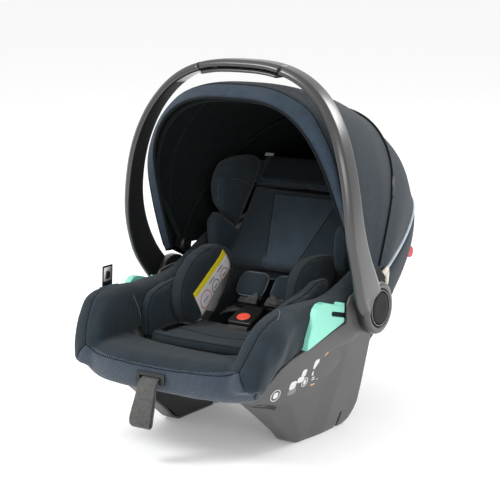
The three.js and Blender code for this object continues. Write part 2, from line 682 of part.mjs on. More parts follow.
/** Front cushion: the roll, its underside fitted to the bucket, with the adjuster's cavity and slot. */
function frontCushion() {
  const underside = common(bucketFilled(GAP, 60), block(-230, 230, -330, -150, 40, 130));
  const cavity = block(-ADJUSTER.half, ADJUSTER.half, ADJUSTER.front, ADJUSTER.rear, ADJUSTER.low, ADJUSTER.high);
  const slot = block(-SLOT.half, SLOT.half, -345, -310, SLOT.low, SLOT.high);
  const panels = [panelInTheWay, mirrored(panelInTheWay)];
  return cut(footRoll(0), underside, wallBand, cavity, slot, ...panels);
}
add("front_cushion", frontCushion(), "navyLight");

const SIDE_STATIONS = [ // y, outer x, inner x, top z, bottom z
  [-268, 178, 150, 190, 131], [-250, 189, 138, 212, 131], [-220, 194.5, 132, 228, 135],
  [-184.6, 194.5, 131, 234, 146], [-184, 171.2, 131, 234, 150], [-150, 171.2, 133, 236, 155],
  [-100, 171.2, 140, 236, 158], [-60, 171.2, 140, 240, 165], [-30, 171.2, 142, 250, 182],
  [0, 171.2, 144, 262, 198], [60, 171.2, 150, 285, 226],
];

/** Side cushion over the bucket's edge, from the front roll back to the canopy. */
function sideCushion() {
  const rings = SIDE_STATIONS.map(([y, outer, inner, top, bottom]) => {
    const round = (outer - inner) * 0.42;
    return [
      [inner, y, bottom], [outer - 4, y, bottom], [outer, y, bottom + 10], [outer, y, top - round],
      [outer - round * 0.3, y, top - round * 0.3], [outer - round, y, top], [inner + round, y, top],
      [inner + round * 0.3, y, top - round * 0.3], [inner, y, top - round],
    ];
  });
  return cut(loft(rings), footRoll(0.4), wallBand, panelInTheWay, ...bothHeadWays);
}

/** Base cushion that fills the liner under the insert. */
function seatPad() {
  const room = join(block(-200, 200, -340, -204, 40, 129.6), block(-200, 200, -204.6, -45, 40, 140));
  return cut(common(bucketFilled(LINED), room), crotchSlot);
}

const CROTCH = { y: -101, half: 20 };
const crotchSlot = block(-CROTCH.half - 1, CROTCH.half + 1, CROTCH.y - 3, CROTCH.y + 3, 85, 175);
add("base_cushion", seatPad(), "navyDark");

/** Padded block with bevelled edges, from y = low to high. */
function pad(half, y0, y1, z0, z1, bevel) {
  const side = outline([[y0, z0], [y1, z0], [y1, z1], [y0, z1]]);
  return slabX(side, -half, half, bevel);
}
add("insert_pad", cut(pad(108, -190, -62, 140.4, 150, 3), crotchSlot), "navy");
add("crotch_pad", cut(pad(34, -116, -78, 150.4, 158, 2.5), crotchSlot), "navyLight");

const BOLSTER_OUTLINE = [
  [-188, 150], [-187, 202], [-172, 220], [-140, 230], [-90, 240], [-60, 248], [-24, 246], [-40, 160],
];
const WING_OUTLINE = [
  [-142, 205], [-130, 166], [-100, 161], [-37.5, 161], [30, 243], [35, 262], [10, 283], [-40, 287],
  [-95, 270], [-130, 240],
];
for (const [name, side] of SIDES) {
  add(`side_cushion_${name}`, onSide(sideCushion(), side), "navy");
  add(`insert_bolster_${name}`, onSide(slabX(outline(BOLSTER_OUTLINE), 108.5, 129.5, 6), side), "navy");
  add(`insert_wing_${name}`, onSide(slabX(outline(WING_OUTLINE), 78, 107, 8), side), "navyDark");
}

// ---------------------------------------------------------------- backrest

/** A slab of an outline in (up the back, out of the back), from x = low to x = high. */
const backSlab = (points, low, high, bevel) =>
  slabX(
    outline(points.map(([s, n]) => {
      const [c, k] = [Math.cos(BACKREST.slope), Math.sin(BACKREST.slope)];
      return [BACKREST.y + s * c - n * k, BACKREST.z + s * k + n * c];
    })),
    low, high, bevel,
  );

/** A padded panel of the backrest between two heights and two depths. */
const backPanel = (half, s0, s1, n0, n1, bevel) =>
  backPad([[-half, s0], [half, s0], [half, s1], [-half, s1]], n0, n1, bevel);

const BACK_WING = [[105, -12], [171, -12], [171, 58], [150, 60], [125, 41], [108, 20]];
const backWing = backSlab(BACK_WING, 109, 135, 5);
add("insert_back", join(backPanel(116, 104, 265, -21, 0, 5), backWing, mirrored(backWing)), "navy");

const HEAD_WING = [
  [176, 1], [186, 62], [202, 82], [222, 92], [250, 91], [271, 74], [302, 36], [312, -8], [268, -8], [268, 1],
];
/** Room for the head wing in (x, up the back): its top corner stays inside the folding middle bow. */
const HEAD_WING_ROOM = [[100, 150], [150, 150], [150, 266], [126, 314], [100, 330]];
const headWing = common(backSlab(HEAD_WING, 110, 141, 7), backPad(HEAD_WING_ROOM, -40, 120, 0.5));
add("head_support", join(backPanel(116, 266, 325, -21, 6, 5), headWing, mirrored(headWing)), "navy");
add("back_pad", backPanel(118, -2, 312, -46, -24, 5), "navyDark");

/** Board behind the backrest pad on two ribs that stand on the liner. */
function backrestFrame() {
  const board = backPanel(112, -10, 308, -51.5, -46.4, 1);
  const rib = outline([[9, 135], [135, 290], [190, 200], [120, 130], [40, 95]]);
  return cut(join(board, slabX(rib, 60, 66), slabX(rib, -66, -60)), wallBand);
}
add("backrest_frame", backrestFrame(), "blackPlastic");

// ---------------------------------------------------------------- harness

const WEB = { width: 38, thick: 1.8 };

/** A strap up the backrest, from under its pad down to the tongue's slot. */
function shoulderStrap(side) {
  const [c, k] = [Math.cos(BACKREST.slope), Math.sin(BACKREST.slope)];
  const up = [[250, -22.5], [106, -22.5], [99, -20], [92, -9], [86, -0.5], [80, 0.5], [56, 0.5], [49, 2.5], [44, 9]];
  const points = up.map(([s, n]) => [BACKREST.y + s * c - n * k, BACKREST.z + s * k + n * c]);
  points.push(onBuckle(0, 44, -3).slice(1), onBuckle(0, 38.5, -7.5).slice(1), onBuckle(0, 37.5, -10.5).slice(1));
  return strapX(points, (t) => side * mix(31, 27, clamp(t * 3 - 2, 0, 1)), WEB.width, WEB.thick);
}

const BUCKLE = { y: -72, z: 180, tilt: 20 * (Math.PI / 180), half: 23, reach: 26, thick: 14 };
const BUTTON_OVAL = { across: 12.5, along: 10, at: -9, proud: 1.5, floor: -9.5 };

/** A point given across, along and out of the buckle's face. */
function onBuckle(x, along, out) {
  const [c, k] = [Math.cos(BUCKLE.tilt), Math.sin(BUCKLE.tilt)];
  return [x, BUCKLE.y + along * c - out * k, BUCKLE.z + along * k + out * c];
}

/** A slab parallel to the buckle's face: an outline in (across, along) between two depths. */
function buckleSlab(shape, low, high, bevel = 0) {
  const geometry = new THREE.ExtrudeGeometry(shape, {
    depth: high - low - 2 * bevel, bevelEnabled: bevel > 0, bevelThickness: bevel, bevelSize: bevel,
    bevelOffset: -bevel, bevelSegments: 1, curveSegments: 6,
  });
  geometry.translate(0, 0, low + bevel);
  const [c, k] = [Math.cos(BUCKLE.tilt), Math.sin(BUCKLE.tilt)];
  geometry.applyMatrix4(new THREE.Matrix4().set(1, 0, 0, 0, 0, c, -k, BUCKLE.y, 0, k, c, BUCKLE.z, 0, 0, 0, 1));
  return geometry;
}

/** The button's oval outline, grown by some amount. */
function oval(grow) {
  const shape = new THREE.Shape();
  shape.absellipse(0, BUTTON_OVAL.at, BUTTON_OVAL.across + grow, BUTTON_OVAL.along + grow, 0, 2 * Math.PI);
  return shape;
}

/** Harness buckle: a housing with the button's recess and the slot that takes both tongues. */
function buckleBody() {
  const [w, l] = [BUCKLE.half, BUCKLE.reach];
  const shape = outline([
    [-w + 7, -l], [w - 7, -l], [w, -l + 9], [w, l - 6], [w - 6, l], [-w + 6, l], [-w, l - 6], [-w, -l + 9],
  ]);
  const mouth = outline([[-21, 3], [21, 3], [21, l + 4], [-21, l + 4]]);
  return cut(buckleSlab(shape, -BUCKLE.thick, 0, 1.5), buckleSlab(oval(0.5), BUTTON_OVAL.floor, 5), buckleSlab(mouth, -9.2, -4.8));
}
add("buckle_body", buckleBody(), "blackPlastic");
add("buckle_button", buckleSlab(oval(0), -5.5, BUTTON_OVAL.proud, 1), "coral");

/** Steel tongue: a blade in the buckle and a wider end with a slot for the webbing. */
function tongue() {
  const blade = outline([[3, 4], [20, 4], [20, 29], [50, 31], [50, 46], [4, 46], [3, 44]]);
  const slot = outline([[6, 34], [48, 34], [48, 42], [6, 42]]);
  return cut(buckleSlab(blade, -8.2, -5.8), buckleSlab(slot, -12, -2));
}

/** Lap strap from the tongue out to the seat's side. */
function lapStrap() {
  const path = [[26, 38, -14.4], [44, 36, -15.4], [62, 36, -21], [76.5, 38, -29]];
  return loft(path.map(([x, along, out], i) => {
    const drop = i < 2 ? [0, 1] : [0.35, 0.94];
    const [ox, on] = [(drop[0] * WEB.thick) / 2, (drop[1] * WEB.thick) / 2];
    return [
      onBuckle(x - ox, along - 12, out - on), onBuckle(x - ox, along + 12, out - on),
      onBuckle(x + ox, along + 12, out + on), onBuckle(x + ox, along - 12, out + on),
    ];
  }));
}

const SHOULDER_PAD = [
  [12, 50], [54, 50], [61, 57], [61, 86], [54, 93], [14, 93], [7, 86], [7, 56],
];
for (const [name, side] of SIDES) {
  add(`shoulder_strap_${name}`, shoulderStrap(side), "webbing");
  add(`shoulder_pad_${name}`, onSide(backPad(SHOULDER_PAD, 2, 13, 4), side), "navyLight");
  add(`harness_tongue_${name}`, onSide(tongue(), side), "steel");
  add(`lap_strap_${name}`, onSide(lapStrap(), side), "webbing");
}

const crotchPath = [onBuckle(0, -26.8, -7).slice(1), [-99.5, 160], [CROTCH.y, 152], [CROTCH.y, 120], [CROTCH.y, 90]];
add("crotch_strap", strapX(crotchPath, 0, WEB.width, WEB.thick), "webbing");

/** Adjuster housing in the front cushion, with the frame round the pull strap's slot. */
function adjusterHousing() {
  const a = ADJUSTER;
  const body = block(-a.half + 0.5, a.half - 0.5, a.front + 0.5, a.rear - 0.5, a.low + 0.5, a.high - 0.5);
  const neck = block(-SLOT.half + 0.4, SLOT.half - 0.4, -327, a.front + 1, SLOT.low + 0.4, SLOT.high - 0.4);
  const frame = block(-26, 26, -328, -325.4, 125, 141);
  const way = block(-20, 20, -330, a.rear - 4, SLOT.low + 1.4, SLOT.high - 1.4);
  const leverRoom = block(-20, 20, a.front - 1, a.rear - 4, SLOT.low + 1.4, a.high - 2);
  const pivots = barX(2, -21.8, 21.8, a.rear - 8, 139.5, 12);
  return cut(join(body, neck, frame), way, leverRoom, pivots);
}
add("adjuster_housing", adjusterHousing(), "blackPlastic");

/** Adjuster lever above the pull strap, on its own pivot in the housing. */
const adjusterLever = () =>
  join(
    block(-19, 19, ADJUSTER.front + 1, ADJUSTER.rear - 7, 138.2, 140.8),
    barX(1.6, -21.4, 21.4, ADJUSTER.rear - 8, 139.5, 12),
  );
add("adjuster_lever", adjusterLever(), "steel");

const PULL_PATH = [
  [-294, 133], [-328, 133], [-336, 129], [-341, 112], [-345, 76], [-342, 58], [-336, 56], [-333, 66],
  [-332, 92], [-331, 119],
];
add("pull_strap", strapX(PULL_PATH, 0, WEB.width, WEB.thick), "webbing");

export default group;
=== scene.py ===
"""Infant car seat: the looks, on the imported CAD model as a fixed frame.

Shapes are written in millimetres with Y measured from the CAD's own working line, TO_MIDDLE short of
the frame's Y; metres() turns such a point into the frame's metres. side is 1 for +X and -1 for -X.
"""

import math

import bmesh
import bpy
import numpy as np
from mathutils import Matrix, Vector
from mathutils.bvhtree import BVHTree
from mathutils.geometry import delaunay_2d_cdt


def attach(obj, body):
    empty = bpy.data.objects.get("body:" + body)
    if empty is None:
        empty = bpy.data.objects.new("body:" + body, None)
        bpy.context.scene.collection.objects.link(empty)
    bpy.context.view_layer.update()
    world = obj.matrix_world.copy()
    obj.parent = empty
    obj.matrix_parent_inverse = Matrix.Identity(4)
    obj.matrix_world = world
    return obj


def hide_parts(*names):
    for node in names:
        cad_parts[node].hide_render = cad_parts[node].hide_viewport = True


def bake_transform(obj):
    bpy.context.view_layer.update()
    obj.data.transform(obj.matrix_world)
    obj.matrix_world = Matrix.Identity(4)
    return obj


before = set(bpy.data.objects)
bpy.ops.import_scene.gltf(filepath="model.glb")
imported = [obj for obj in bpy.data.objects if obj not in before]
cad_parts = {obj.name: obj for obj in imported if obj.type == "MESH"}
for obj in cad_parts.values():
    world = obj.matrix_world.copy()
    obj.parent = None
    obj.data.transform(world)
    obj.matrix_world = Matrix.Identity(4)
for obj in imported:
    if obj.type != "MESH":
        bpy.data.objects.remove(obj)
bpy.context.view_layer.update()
scene = bpy.context.scene
TO_MIDDLE = 10.4
SIDES = (("left", -1), ("right", 1))


def metres(p):
    """A millimetre point of this file as a point of the frame."""
    return Vector((p[0], p[1] + TO_MIDDLE, p[2])) / 1000


# ---------------- camera, light, floor

EYE = (1414.0, -2165.9, 782.4)
AIM = (0.0, -62.0, 283.2)
LENS = 116.2  # on a sensor 36 mm wide
LIGHTS_AIM = Vector((0, 0, 0.28))
FLOOR_HALF = 90


def add_object(name, data):
    obj = bpy.data.objects.new(name, data)
    scene.collection.objects.link(obj)
    return obj


def look_at(obj, eye, aim):
    """Puts obj at eye, looking at aim."""
    obj.location = eye
    obj.rotation_mode = "QUATERNION"
    obj.rotation_quaternion = (aim - eye).to_track_quat("-Z", "Y")


def make_camera():
    data = bpy.data.cameras.new("camera")
    data.sensor_width, data.lens = 36, LENS
    data.clip_start, data.clip_end = 0.05, 50
    camera = add_object("camera", data)
    look_at(camera, metres(EYE), metres(AIM))
    scene.camera = camera


def area_light(name, eye, size, power):
    data = bpy.data.lights.new(name, "AREA")
    data.shape, data.size, data.energy = "DISK", size, power
    look_at(add_object(name, data), Vector(eye), LIGHTS_AIM)


def make_studio():
    """Pale floor, white surroundings and three soft lights."""
    world = bpy.data.worlds.new("studio")
    world.use_nodes = True
    background = world.node_tree.nodes["Background"]
    background.inputs["Color"].default_value = (1, 1, 1, 1)
    background.inputs["Strength"].default_value = 0.82
    scene.world = world
    area_light("key", (-1.2, -1.9, 2.7), 1.3, 58)
    area_light("fill", (2.4, -2.4, 1.2), 1.4, 26)
    area_light("rim", (1.4, 2.4, 2.2), 1.2, 44)
    mesh = bpy.data.meshes.new("floor")
    corners = [(x * FLOOR_HALF, y * FLOOR_HALF, 0) for x, y in ((-1, -1), (1, -1), (1, 1), (-1, 1))]
    mesh.from_pydata(corners, [], [(0, 1, 2, 3)])
    floor = add_object("floor", mesh)
    surface = bpy.data.materials.new("floor")
    surface.use_nodes = True
    shader = surface.node_tree.nodes["Principled BSDF"]
    shader.inputs["Base Color"].default_value = (0.95, 0.95, 0.95, 1)
    shader.inputs["Emission Color"].default_value = (1, 1, 1, 1)
    shader.inputs["Emission Strength"].default_value = 0.16
    shader.inputs["Roughness"].default_value = 0.8
    mesh.materials.append(surface)
    scene.view_settings.view_transform = "Standard"


make_camera()
make_studio()

# ---------------- materials


class Nodes:
    """A short way to wire a material's nodes."""

    def __init__(self, name):
        self.material = bpy.data.materials.new(name)
        self.material.use_nodes = True
        self.tree = self.material.node_tree
        self.shader = self.tree.nodes["Principled BSDF"]
        self.place = self.add("ShaderNodeTexCoord").outputs["Object"]

    def add(self, kind, **inputs):
        node = self.tree.nodes.new(kind)
        for key, value in inputs.items():
            self.put(node, key.replace("_", " "), value)
        return node

    def put(self, node, key, value):
        if isinstance(value, bpy.types.NodeSocket):
            self.tree.links.new(value, node.inputs[key])
        else:
            node.inputs[key].default_value = value

    def set(self, **inputs):
        for key, value in inputs.items():
            self.put(self.shader, key.replace("_", " "), value)

    def noise(self, scale, detail=3.0):
        node = self.add("ShaderNodeTexNoise", Vector=self.place, Scale=scale, Detail=detail)
        return node.outputs["Fac"]

    def ramp(self, value, stops):
        node = self.add("ShaderNodeValToRGB", Fac=value)
        for i, (at, colour) in enumerate(stops):
            stop = node.color_ramp.elements[i] if i < 2 else node.color_ramp.elements.new(at)
            stop.position, stop.color = at, (*colour, 1) if len(colour) == 3 else colour
        return node.outputs["Color"]

    def waves(self, direction, pitch):
        """Bands across a direction, one every pitch metres."""
        turned = self.add("ShaderNodeVectorMath")
        turned.operation = "DOT_PRODUCT"
        self.put(turned, 0, self.place)
        self.put(turned, 1, direction)
        return self.math("SINE", self.math("MULTIPLY", turned.outputs["Value"], math.tau / pitch))

    def math(self, operation, a, b=None):
        node = self.add("ShaderNodeMath")
        node.operation = operation
        self.put(node, 0, a)
        if b is not None:
            self.put(node, 1, b)
        return node.outputs[0]

    def uneven(self, scale, low, high):
        """A value that wanders between low and high."""
        return self.add("ShaderNodeMapRange", Value=self.noise(scale, 4), To_Min=low, To_Max=high).outputs[0]

    def bump(self, height, distance, strength=1.0, under=None):
        node = self.add("ShaderNodeBump", Height=height, Distance=distance, Strength=strength)
        if under is not None:
            self.put(node, "Normal", under)
        return node.outputs["Normal"]


def lighter(colour, times):
    return tuple(min(1, c * times) for c in colour)


def fabric(name, colour, shade, pitch=0.0011, depth=0.00018, sheen=0.12, folds=0.0008):
    """Woven cloth: two crossed sets of threads, soft unevenness and a slightly mottled colour."""
    n = Nodes(name)
    n.set(
        Base_Color=n.ramp(n.noise(55, 5), [(0.3, shade), (0.72, colour)]),
        Roughness=0.92, Sheen_Weight=sheen, Sheen_Roughness=0.45, Specular_IOR_Level=0.25,
    )
    weave = n.math("ADD", n.waves((0.62, 0.55, 0.56), pitch), n.waves((-0.62, 0.55, 0.56), pitch))
    n.set(Normal=n.bump(weave, depth, 0.6, n.bump(n.noise(16, 2), folds * 3)))
    return n.material


def mesh_fabric(name, colour, shade):
    """Open spacer mesh: a visible grid of small holes."""
    n = Nodes(name)
    a, b = (n.waves(direction, 0.003) for direction in ((0.75, 0.30, 0.60), (-0.75, -0.30, 0.60)))
    holes = n.math("MULTIPLY", n.math("ADD", a, 1.0), n.math("ADD", b, 1.0))
    n.set(
        Base_Color=n.ramp(n.math("MULTIPLY", holes, 0.25), [(0.05, colour), (0.85, shade)]),
        Roughness=0.9, Sheen_Weight=0.3, Sheen_Roughness=0.4, Specular_IOR_Level=0.25,
    )
    n.set(Normal=n.bump(holes, -0.0004, 0.8, n.bump(n.noise(14, 2), 0.0016)))
    return n.material


def webbing(name, colour, shade):
    """Narrow woven strap: fine ribs along it."""
    n = Nodes(name)
    n.set(
        Base_Color=n.ramp(n.noise(160, 4), [(0.35, shade), (0.7, colour)]),
        Roughness=0.72, Sheen_Weight=0.15, Specular_IOR_Level=0.3,
    )
    ribs = n.math("ADD", n.waves((1, 0, 0), 0.0016), n.waves((0, 0.7, 0.7), 0.0012))
    n.set(Normal=n.bump(ribs, 0.00022, 0.7))
    return n.material


def plastic(name, colour, rough=0.5, grain=0.00006, worn=1.12, gloss=0.5):
    """Moulded plastic: spark-eroded grain and faint handling marks in the gloss."""
    n = Nodes(name)
    n.set(
        Base_Color=n.ramp(n.noise(9, 4), [(0.3, colour), (0.75, lighter(colour, worn))]),
        Roughness=n.uneven(35, rough - 0.06, rough + 0.08),
        Coat_Roughness=0.15, Specular_IOR_Level=gloss,
    )
    n.set(Normal=n.bump(n.noise(2400, 2), grain, 0.7))
    return n.material


def lacquer(name, colour, rough):
    """Satin metallic lacquer with a fine flake."""
    n = Nodes(name)
    n.set(
        Base_Color=n.ramp(n.noise(1500, 2), [(0.35, colour), (0.7, lighter(colour, 1.25))]),
        Metallic=0.75, Roughness=n.uneven(20, rough - 0.03, rough + 0.06), Coat_Weight=0.7, Coat_Roughness=0.25,
    )
    n.set(Normal=n.bump(n.noise(1900, 2), 0.00003, 0.5))
    return n.material


def steel(name, colour=(0.62, 0.62, 0.63)):
    """Brushed steel."""
    n = Nodes(name)
    n.set(
        Base_Color=n.ramp(n.noise(220, 4), [(0.3, lighter(colour, 0.8)), (0.7, colour)]),
        Metallic=1.0, Roughness=0.34,
    )
    n.set(Normal=n.bump(n.waves((0.1, 0.2, 1), 0.0006), 0.00004, 0.5))
    return n.material


NAVY = fabric("navy", (0.018, 0.0295, 0.0385), (0.014, 0.0225, 0.03))
CANOPY = fabric(
    "canopy", (0.0185, 0.029, 0.0395), (0.015, 0.023, 0.032),
    pitch=0.0016, depth=0.0002, folds=0.0003,
)
BAND = fabric(
    "canopy_band", (0.037, 0.057, 0.082), (0.0255, 0.04, 0.059),
    pitch=0.0024, depth=0.0003, sheen=0.15, folds=0.0002,
)
LINING = fabric("lining", (0.003, 0.0075, 0.0072), (0.002, 0.0052, 0.005), sheen=0.03, folds=0.0006)
DARK = fabric("dark_cloth", (0.0075, 0.011, 0.014), (0.005, 0.0078, 0.01), sheen=0.06)
PADDING = fabric("padding", (0.019, 0.0275, 0.035), (0.0145, 0.021, 0.027), pitch=0.001, sheen=0.1)
PANEL_CLOTH = fabric("panel_cloth", (0.039, 0.056, 0.073), (0.03, 0.044, 0.058), pitch=0.0018)
MESH = mesh_fabric("spacer_mesh", (0.042, 0.062, 0.088), (0.017, 0.026, 0.038))
PIPING = fabric("piping", (0.55, 0.62, 0.68), (0.43, 0.5, 0.56), pitch=0.0008, sheen=0.2, folds=0.0001)
EDGING = fabric("edging", (0.05, 0.07, 0.092), (0.036, 0.052, 0.07), pitch=0.0007, sheen=0.1, folds=0.0001)
CORDING = fabric("cording", (0.0045, 0.007, 0.0095), (0.003, 0.0048, 0.0065), sheen=0.05, folds=0.0001)
THREAD = fabric("thread", (0.055, 0.08, 0.11), (0.04, 0.06, 0.084), pitch=0.0005, sheen=0.05, folds=0.0001)
FINE_PIPING = fabric(
    "fine_piping", (0.105, 0.14, 0.175), (0.08, 0.108, 0.138),
    pitch=0.0007, sheen=0.1, folds=0.0001,
)
WEB = webbing("webbing", (0.052, 0.05, 0.047), (0.034, 0.033, 0.031))
PULL_WEB = webbing("pull_web", (0.1, 0.098, 0.096), (0.068, 0.066, 0.065))
GREY = plastic("grey_plastic", (0.078, 0.078, 0.08), 0.42, worn=1.08, gloss=0.4)
DISC = plastic("disc_plastic", (0.0045, 0.0045, 0.005), 0.45, gloss=0.15)
# near-black for the handle legs' faces towards the seat: painted shade
LEG_SHADE = plastic("leg_painted_shade", (0.01, 0.01, 0.011), 0.5, gloss=0.3)
BLACK = plastic("black_plastic", (0.0085, 0.0085, 0.009), 0.38)
MINT = plastic("mint_plastic", (0.25, 0.68, 0.54), 0.38, worn=1.03)
CORAL = plastic("coral_plastic", (0.93, 0.1, 0.06), 0.32, worn=1.05)
RED = plastic("red_plastic", (0.48, 0.012, 0.02), 0.25, worn=1.2)
CREAM = plastic("cream_plastic", (0.78, 0.75, 0.66), 0.4, worn=1.03)
FOAM = plastic("foam", (0.62, 0.62, 0.61), 0.8, grain=0.0004)
HANDLE = lacquer("handle_lacquer", (0.053, 0.053, 0.055), 0.33)
STEEL = steel("steel")
DARK_STEEL = steel("dark_steel", (0.045, 0.045, 0.048))
PRINT_GRAIN = 0.00001
MARK = plastic("printed_white", (0.66, 0.67, 0.68), 0.5, grain=PRINT_GRAIN)
YELLOW = plastic("printed_yellow", (0.92, 0.76, 0.02), 0.5, grain=PRINT_GRAIN)
ORANGE = plastic("printed_orange", (0.74, 0.4, 0.18), 0.5, grain=PRINT_GRAIN)
# grey for printed marks, and also for the hub ring's painted highlight
GREY_PRINT_AND_HIGHLIGHT = plastic("grey_print_and_highlight", (0.2, 0.2, 0.205), 0.5, grain=PRINT_GRAIN)
SIGNAL = plastic("printed_red", (0.62, 0.03, 0.03), 0.5, grain=PRINT_GRAIN)
LABEL = fabric("label_cloth", (0.92, 0.92, 0.93), (0.86, 0.86, 0.88), pitch=0.0007, sheen=0.0, folds=0.0002)

# ---------------- small maths


def clamp(value, low, high):
    return min(high, max(low, value))


def mix(a, b, t):
    return a + (b - a) * t


def smooth_step(value, low, high):
    t = clamp((value - low) / (high - low), 0, 1)
    return t * t * (3 - 2 * t)


def signed_power(value, power):
    return math.copysign(abs(value) ** power, value)


def read(table, at):
    """Reads a table of (at, value) rows in straight lines between them."""
    return float(np.interp(at, [row[0] for row in table], [row[1] for row in table]))


def run_along(points):
    """The distance along a path at each of its points."""
    return np.concatenate([[0], np.cumsum(np.linalg.norm(np.diff(points, axis=0), axis=1))])


def at_distance(at, along, points):
    """A path's point or points at a distance along it."""
    return np.stack([np.interp(at, along, points[:, k]) for k in range(points.shape[1])], axis=-1)


def curve(points, count, closed=False):
    """Evenly spaced points on a smooth line through some points (a centripetal Catmull-Rom curve)."""
    p = [np.array(q, float) for q in points]
    p = [p[-1], *p, p[0], p[1]] if closed else [2 * p[0] - p[1], *p, 2 * p[-1] - p[-2]]
    dense = []
    for a, b, c, d in zip(p, p[1:], p[2:], p[3:]):
        t1 = max(np.linalg.norm(b - a), 1e-6) ** 0.5
        t2 = t1 + max(np.linalg.norm(c - b), 1e-6) ** 0.5
        t3 = t2 + max(np.linalg.norm(d - c), 1e-6) ** 0.5
        for t in np.linspace(t1, t2, 16, endpoint=False):
            ab, bc, cd = mix(a, b, t / t1), mix(b, c, (t - t1) / (t2 - t1)), mix(c, d, (t - t2) / (t3 - t2))
            abc, bcd = mix(ab, bc, t / t2), mix(bc, cd, (t - t1) / (t3 - t1))
            dense.append(mix(abc, bcd, (t - t1) / (t2 - t1)))
    dense = np.array(dense + [p[1] if closed else p[-2]])
    along = run_along(dense)
    found = at_distance(np.linspace(0, along[-1], count + 1 if closed else count), along, dense)
    return found[:-1] if closed else found


def full_turn(count):
    """Evenly spaced angles of a full turn."""
    return np.linspace(0, math.tau, count, endpoint=False)


def mirrored(points, side):
    return [(side * x, y, z) for x, y, z in points]


def at_x(points, x):
    """A (y, z) line's points at one distance from the middle."""
    return [(x, y, z) for y, z in points]


def rounded(points, radius, steps=5):
    """A closed outline with its corners rounded."""
    out = []
    count = len(points)
    for i in range(count):
        a, b, c = (np.array(points[(i + k) % count], float) for k in (-1, 0, 1))
        reach = min(radius, 0.45 * np.linalg.norm(a - b), 0.45 * np.linalg.norm(c - b))
        start = b + (a - b) / np.linalg.norm(a - b) * reach
        end = b + (c - b) / np.linalg.norm(c - b) * reach
        for t in np.linspace(0, 1, steps):
            out.append((1 - t) ** 2 * start + 2 * t * (1 - t) * b + t**2 * end)
    return out


# ---------------- mesh making


def make(name, points, faces, materials, face_materials=None):
    """An object from millimetre points."""
    mesh = bpy.data.meshes.new(name)
    mesh.from_pydata([metres(p) for p in points], [], faces)
    for material in materials:
        mesh.materials.append(material)
    if face_materials is not None:
        mesh.polygons.foreach_set("material_index", face_materials)
    mesh.shade_smooth()
    return add_object(name, mesh)


def tidy(obj):
    """Merges doubled points and turns every face outwards."""
    work = bmesh.new()
    work.from_mesh(obj.data)
    bmesh.ops.remove_doubles(work, verts=work.verts, dist=0.00002)
    bmesh.ops.recalc_face_normals(work, faces=work.faces)
    work.to_mesh(obj.data)
    work.free()
    return obj


def modify(obj, kind, **settings):
    """Adds a modifier and applies it."""
    modifier = obj.modifiers.new(kind.lower(), kind)
    for key, value in settings.items():
        setattr(modifier, key, value)
    graph = bpy.context.evaluated_depsgraph_get()
    mesh = bpy.data.meshes.new_from_object(obj.evaluated_get(graph))
    obj.modifiers.clear()
    old, obj.data = obj.data, mesh
    bpy.data.meshes.remove(old)
    return obj


def bands(height, width, closed, base=0):
    """The faces between rows of points, which are numbered row by row from base."""
    faces = []
    for low in range(base, base + (height - 1) * width, width):
        for c in range(width if closed else width - 1):
            d = (c + 1) % width
            faces.append((low + c, low + d, low + width + d, low + width + c))
    return faces


def body_faces(height, width, base=0):
    """The faces of a closed body through rings of points, ends included."""
    last = base + (height - 1) * width
    ends = [tuple(range(base, base + width))[::-1], tuple(range(last, last + width))]
    return bands(height, width, True, base) + ends


def grid(name, rows, materials, closed=False, face_materials=None):
    """A sheet from rows of points; closed joins the last column to the first."""
    faces = bands(len(rows), len(rows[0]), closed)
    return make(name, [p for row in rows for p in row], faces, materials, face_materials)


def loft(name, rings, materials):
    """A closed body through rings of points."""
    faces = body_faces(len(rings), len(rings[0]))
    return tidy(make(name, [p for ring in rings for p in ring], faces, materials))


def sweep(name, path, section, materials, up=None, closed=False):
    """A section of (across, out) points along a path; up gives the way out at each point."""
    path = [np.array(p, float) for p in path]
    count = len(path)
    rings = []
    normal = None
    for i, p in enumerate(path):
        before = path[(i - 1) % count] if closed or i else p
        after = path[(i + 1) % count] if closed or i < count - 1 else p
        tangent = (after - before) / np.linalg.norm(after - before)
        if up is not None:
            normal = np.array(up[i] if len(np.shape(up)) > 1 else up, float)
        elif normal is None:
            normal = np.cross(tangent, (0.3, 0.2, 0.93))
        normal = normal - tangent * normal.dot(tangent)
        normal /= np.linalg.norm(normal)
        across = np.cross(tangent, normal)
        shape = section(i / (count - 1)) if callable(section) else section
        rings.append([p + across * a + normal * b for a, b in shape])
    if not closed:
        return loft(name, rings, materials)
    rings.append(rings[0])
    return tidy(grid(name, rings, materials, closed=True))


def circle(radius, sides=8):
    angles = [math.tau * i / sides for i in range(sides)]
    return [(radius * math.cos(a), radius * math.sin(a)) for a in angles]


def flat(width, thick, sides=3):
    """A strap's section with rounded edges."""
    out = []
    for side, turn in ((1, -math.pi / 2), (-1, math.pi / 2)):
        for k in range(sides + 1):
            a = turn + math.pi * k / sides
            out.append((side * (width - thick) / 2 + math.cos(a) * thick / 2, math.sin(a) * thick / 2))
    return out


def joined(name, objects):
    """Joins objects into the first one, keeping their materials."""
    with bpy.context.temp_override(active_object=objects[0], selected_editable_objects=objects):
        bpy.ops.object.join()
    objects[0].name = name
    return objects[0]


def plate(name, outline, place, low, high, materials, bevel=1.0, segments=3):
    """A slab of an outline; place(a, b, depth) gives a point."""
    outline = [tuple(p) for p in outline]
    rings = [[place(a, b, depth) for a, b in outline] for depth in (low, high)]
    obj = loft(name, rings, materials)
    if bevel:
        modify(obj, "BEVEL", width=bevel / 1000, segments=segments, limit_method="ANGLE", angle_limit=math.radians(40))
    obj.data.shade_smooth()
    return obj


STITCH_PITCH, STITCH_LENGTH, STITCH_RADIUS, STITCH_LIFT = 4.2, 2.7, 0.35, 0.25
STITCH_SHAPE = ((0, 0.35, -0.5), (0.2, 1, 0.5), (0.8, 1, 0.5), (1, 0.35, -0.5))  # share of length, swell, rise


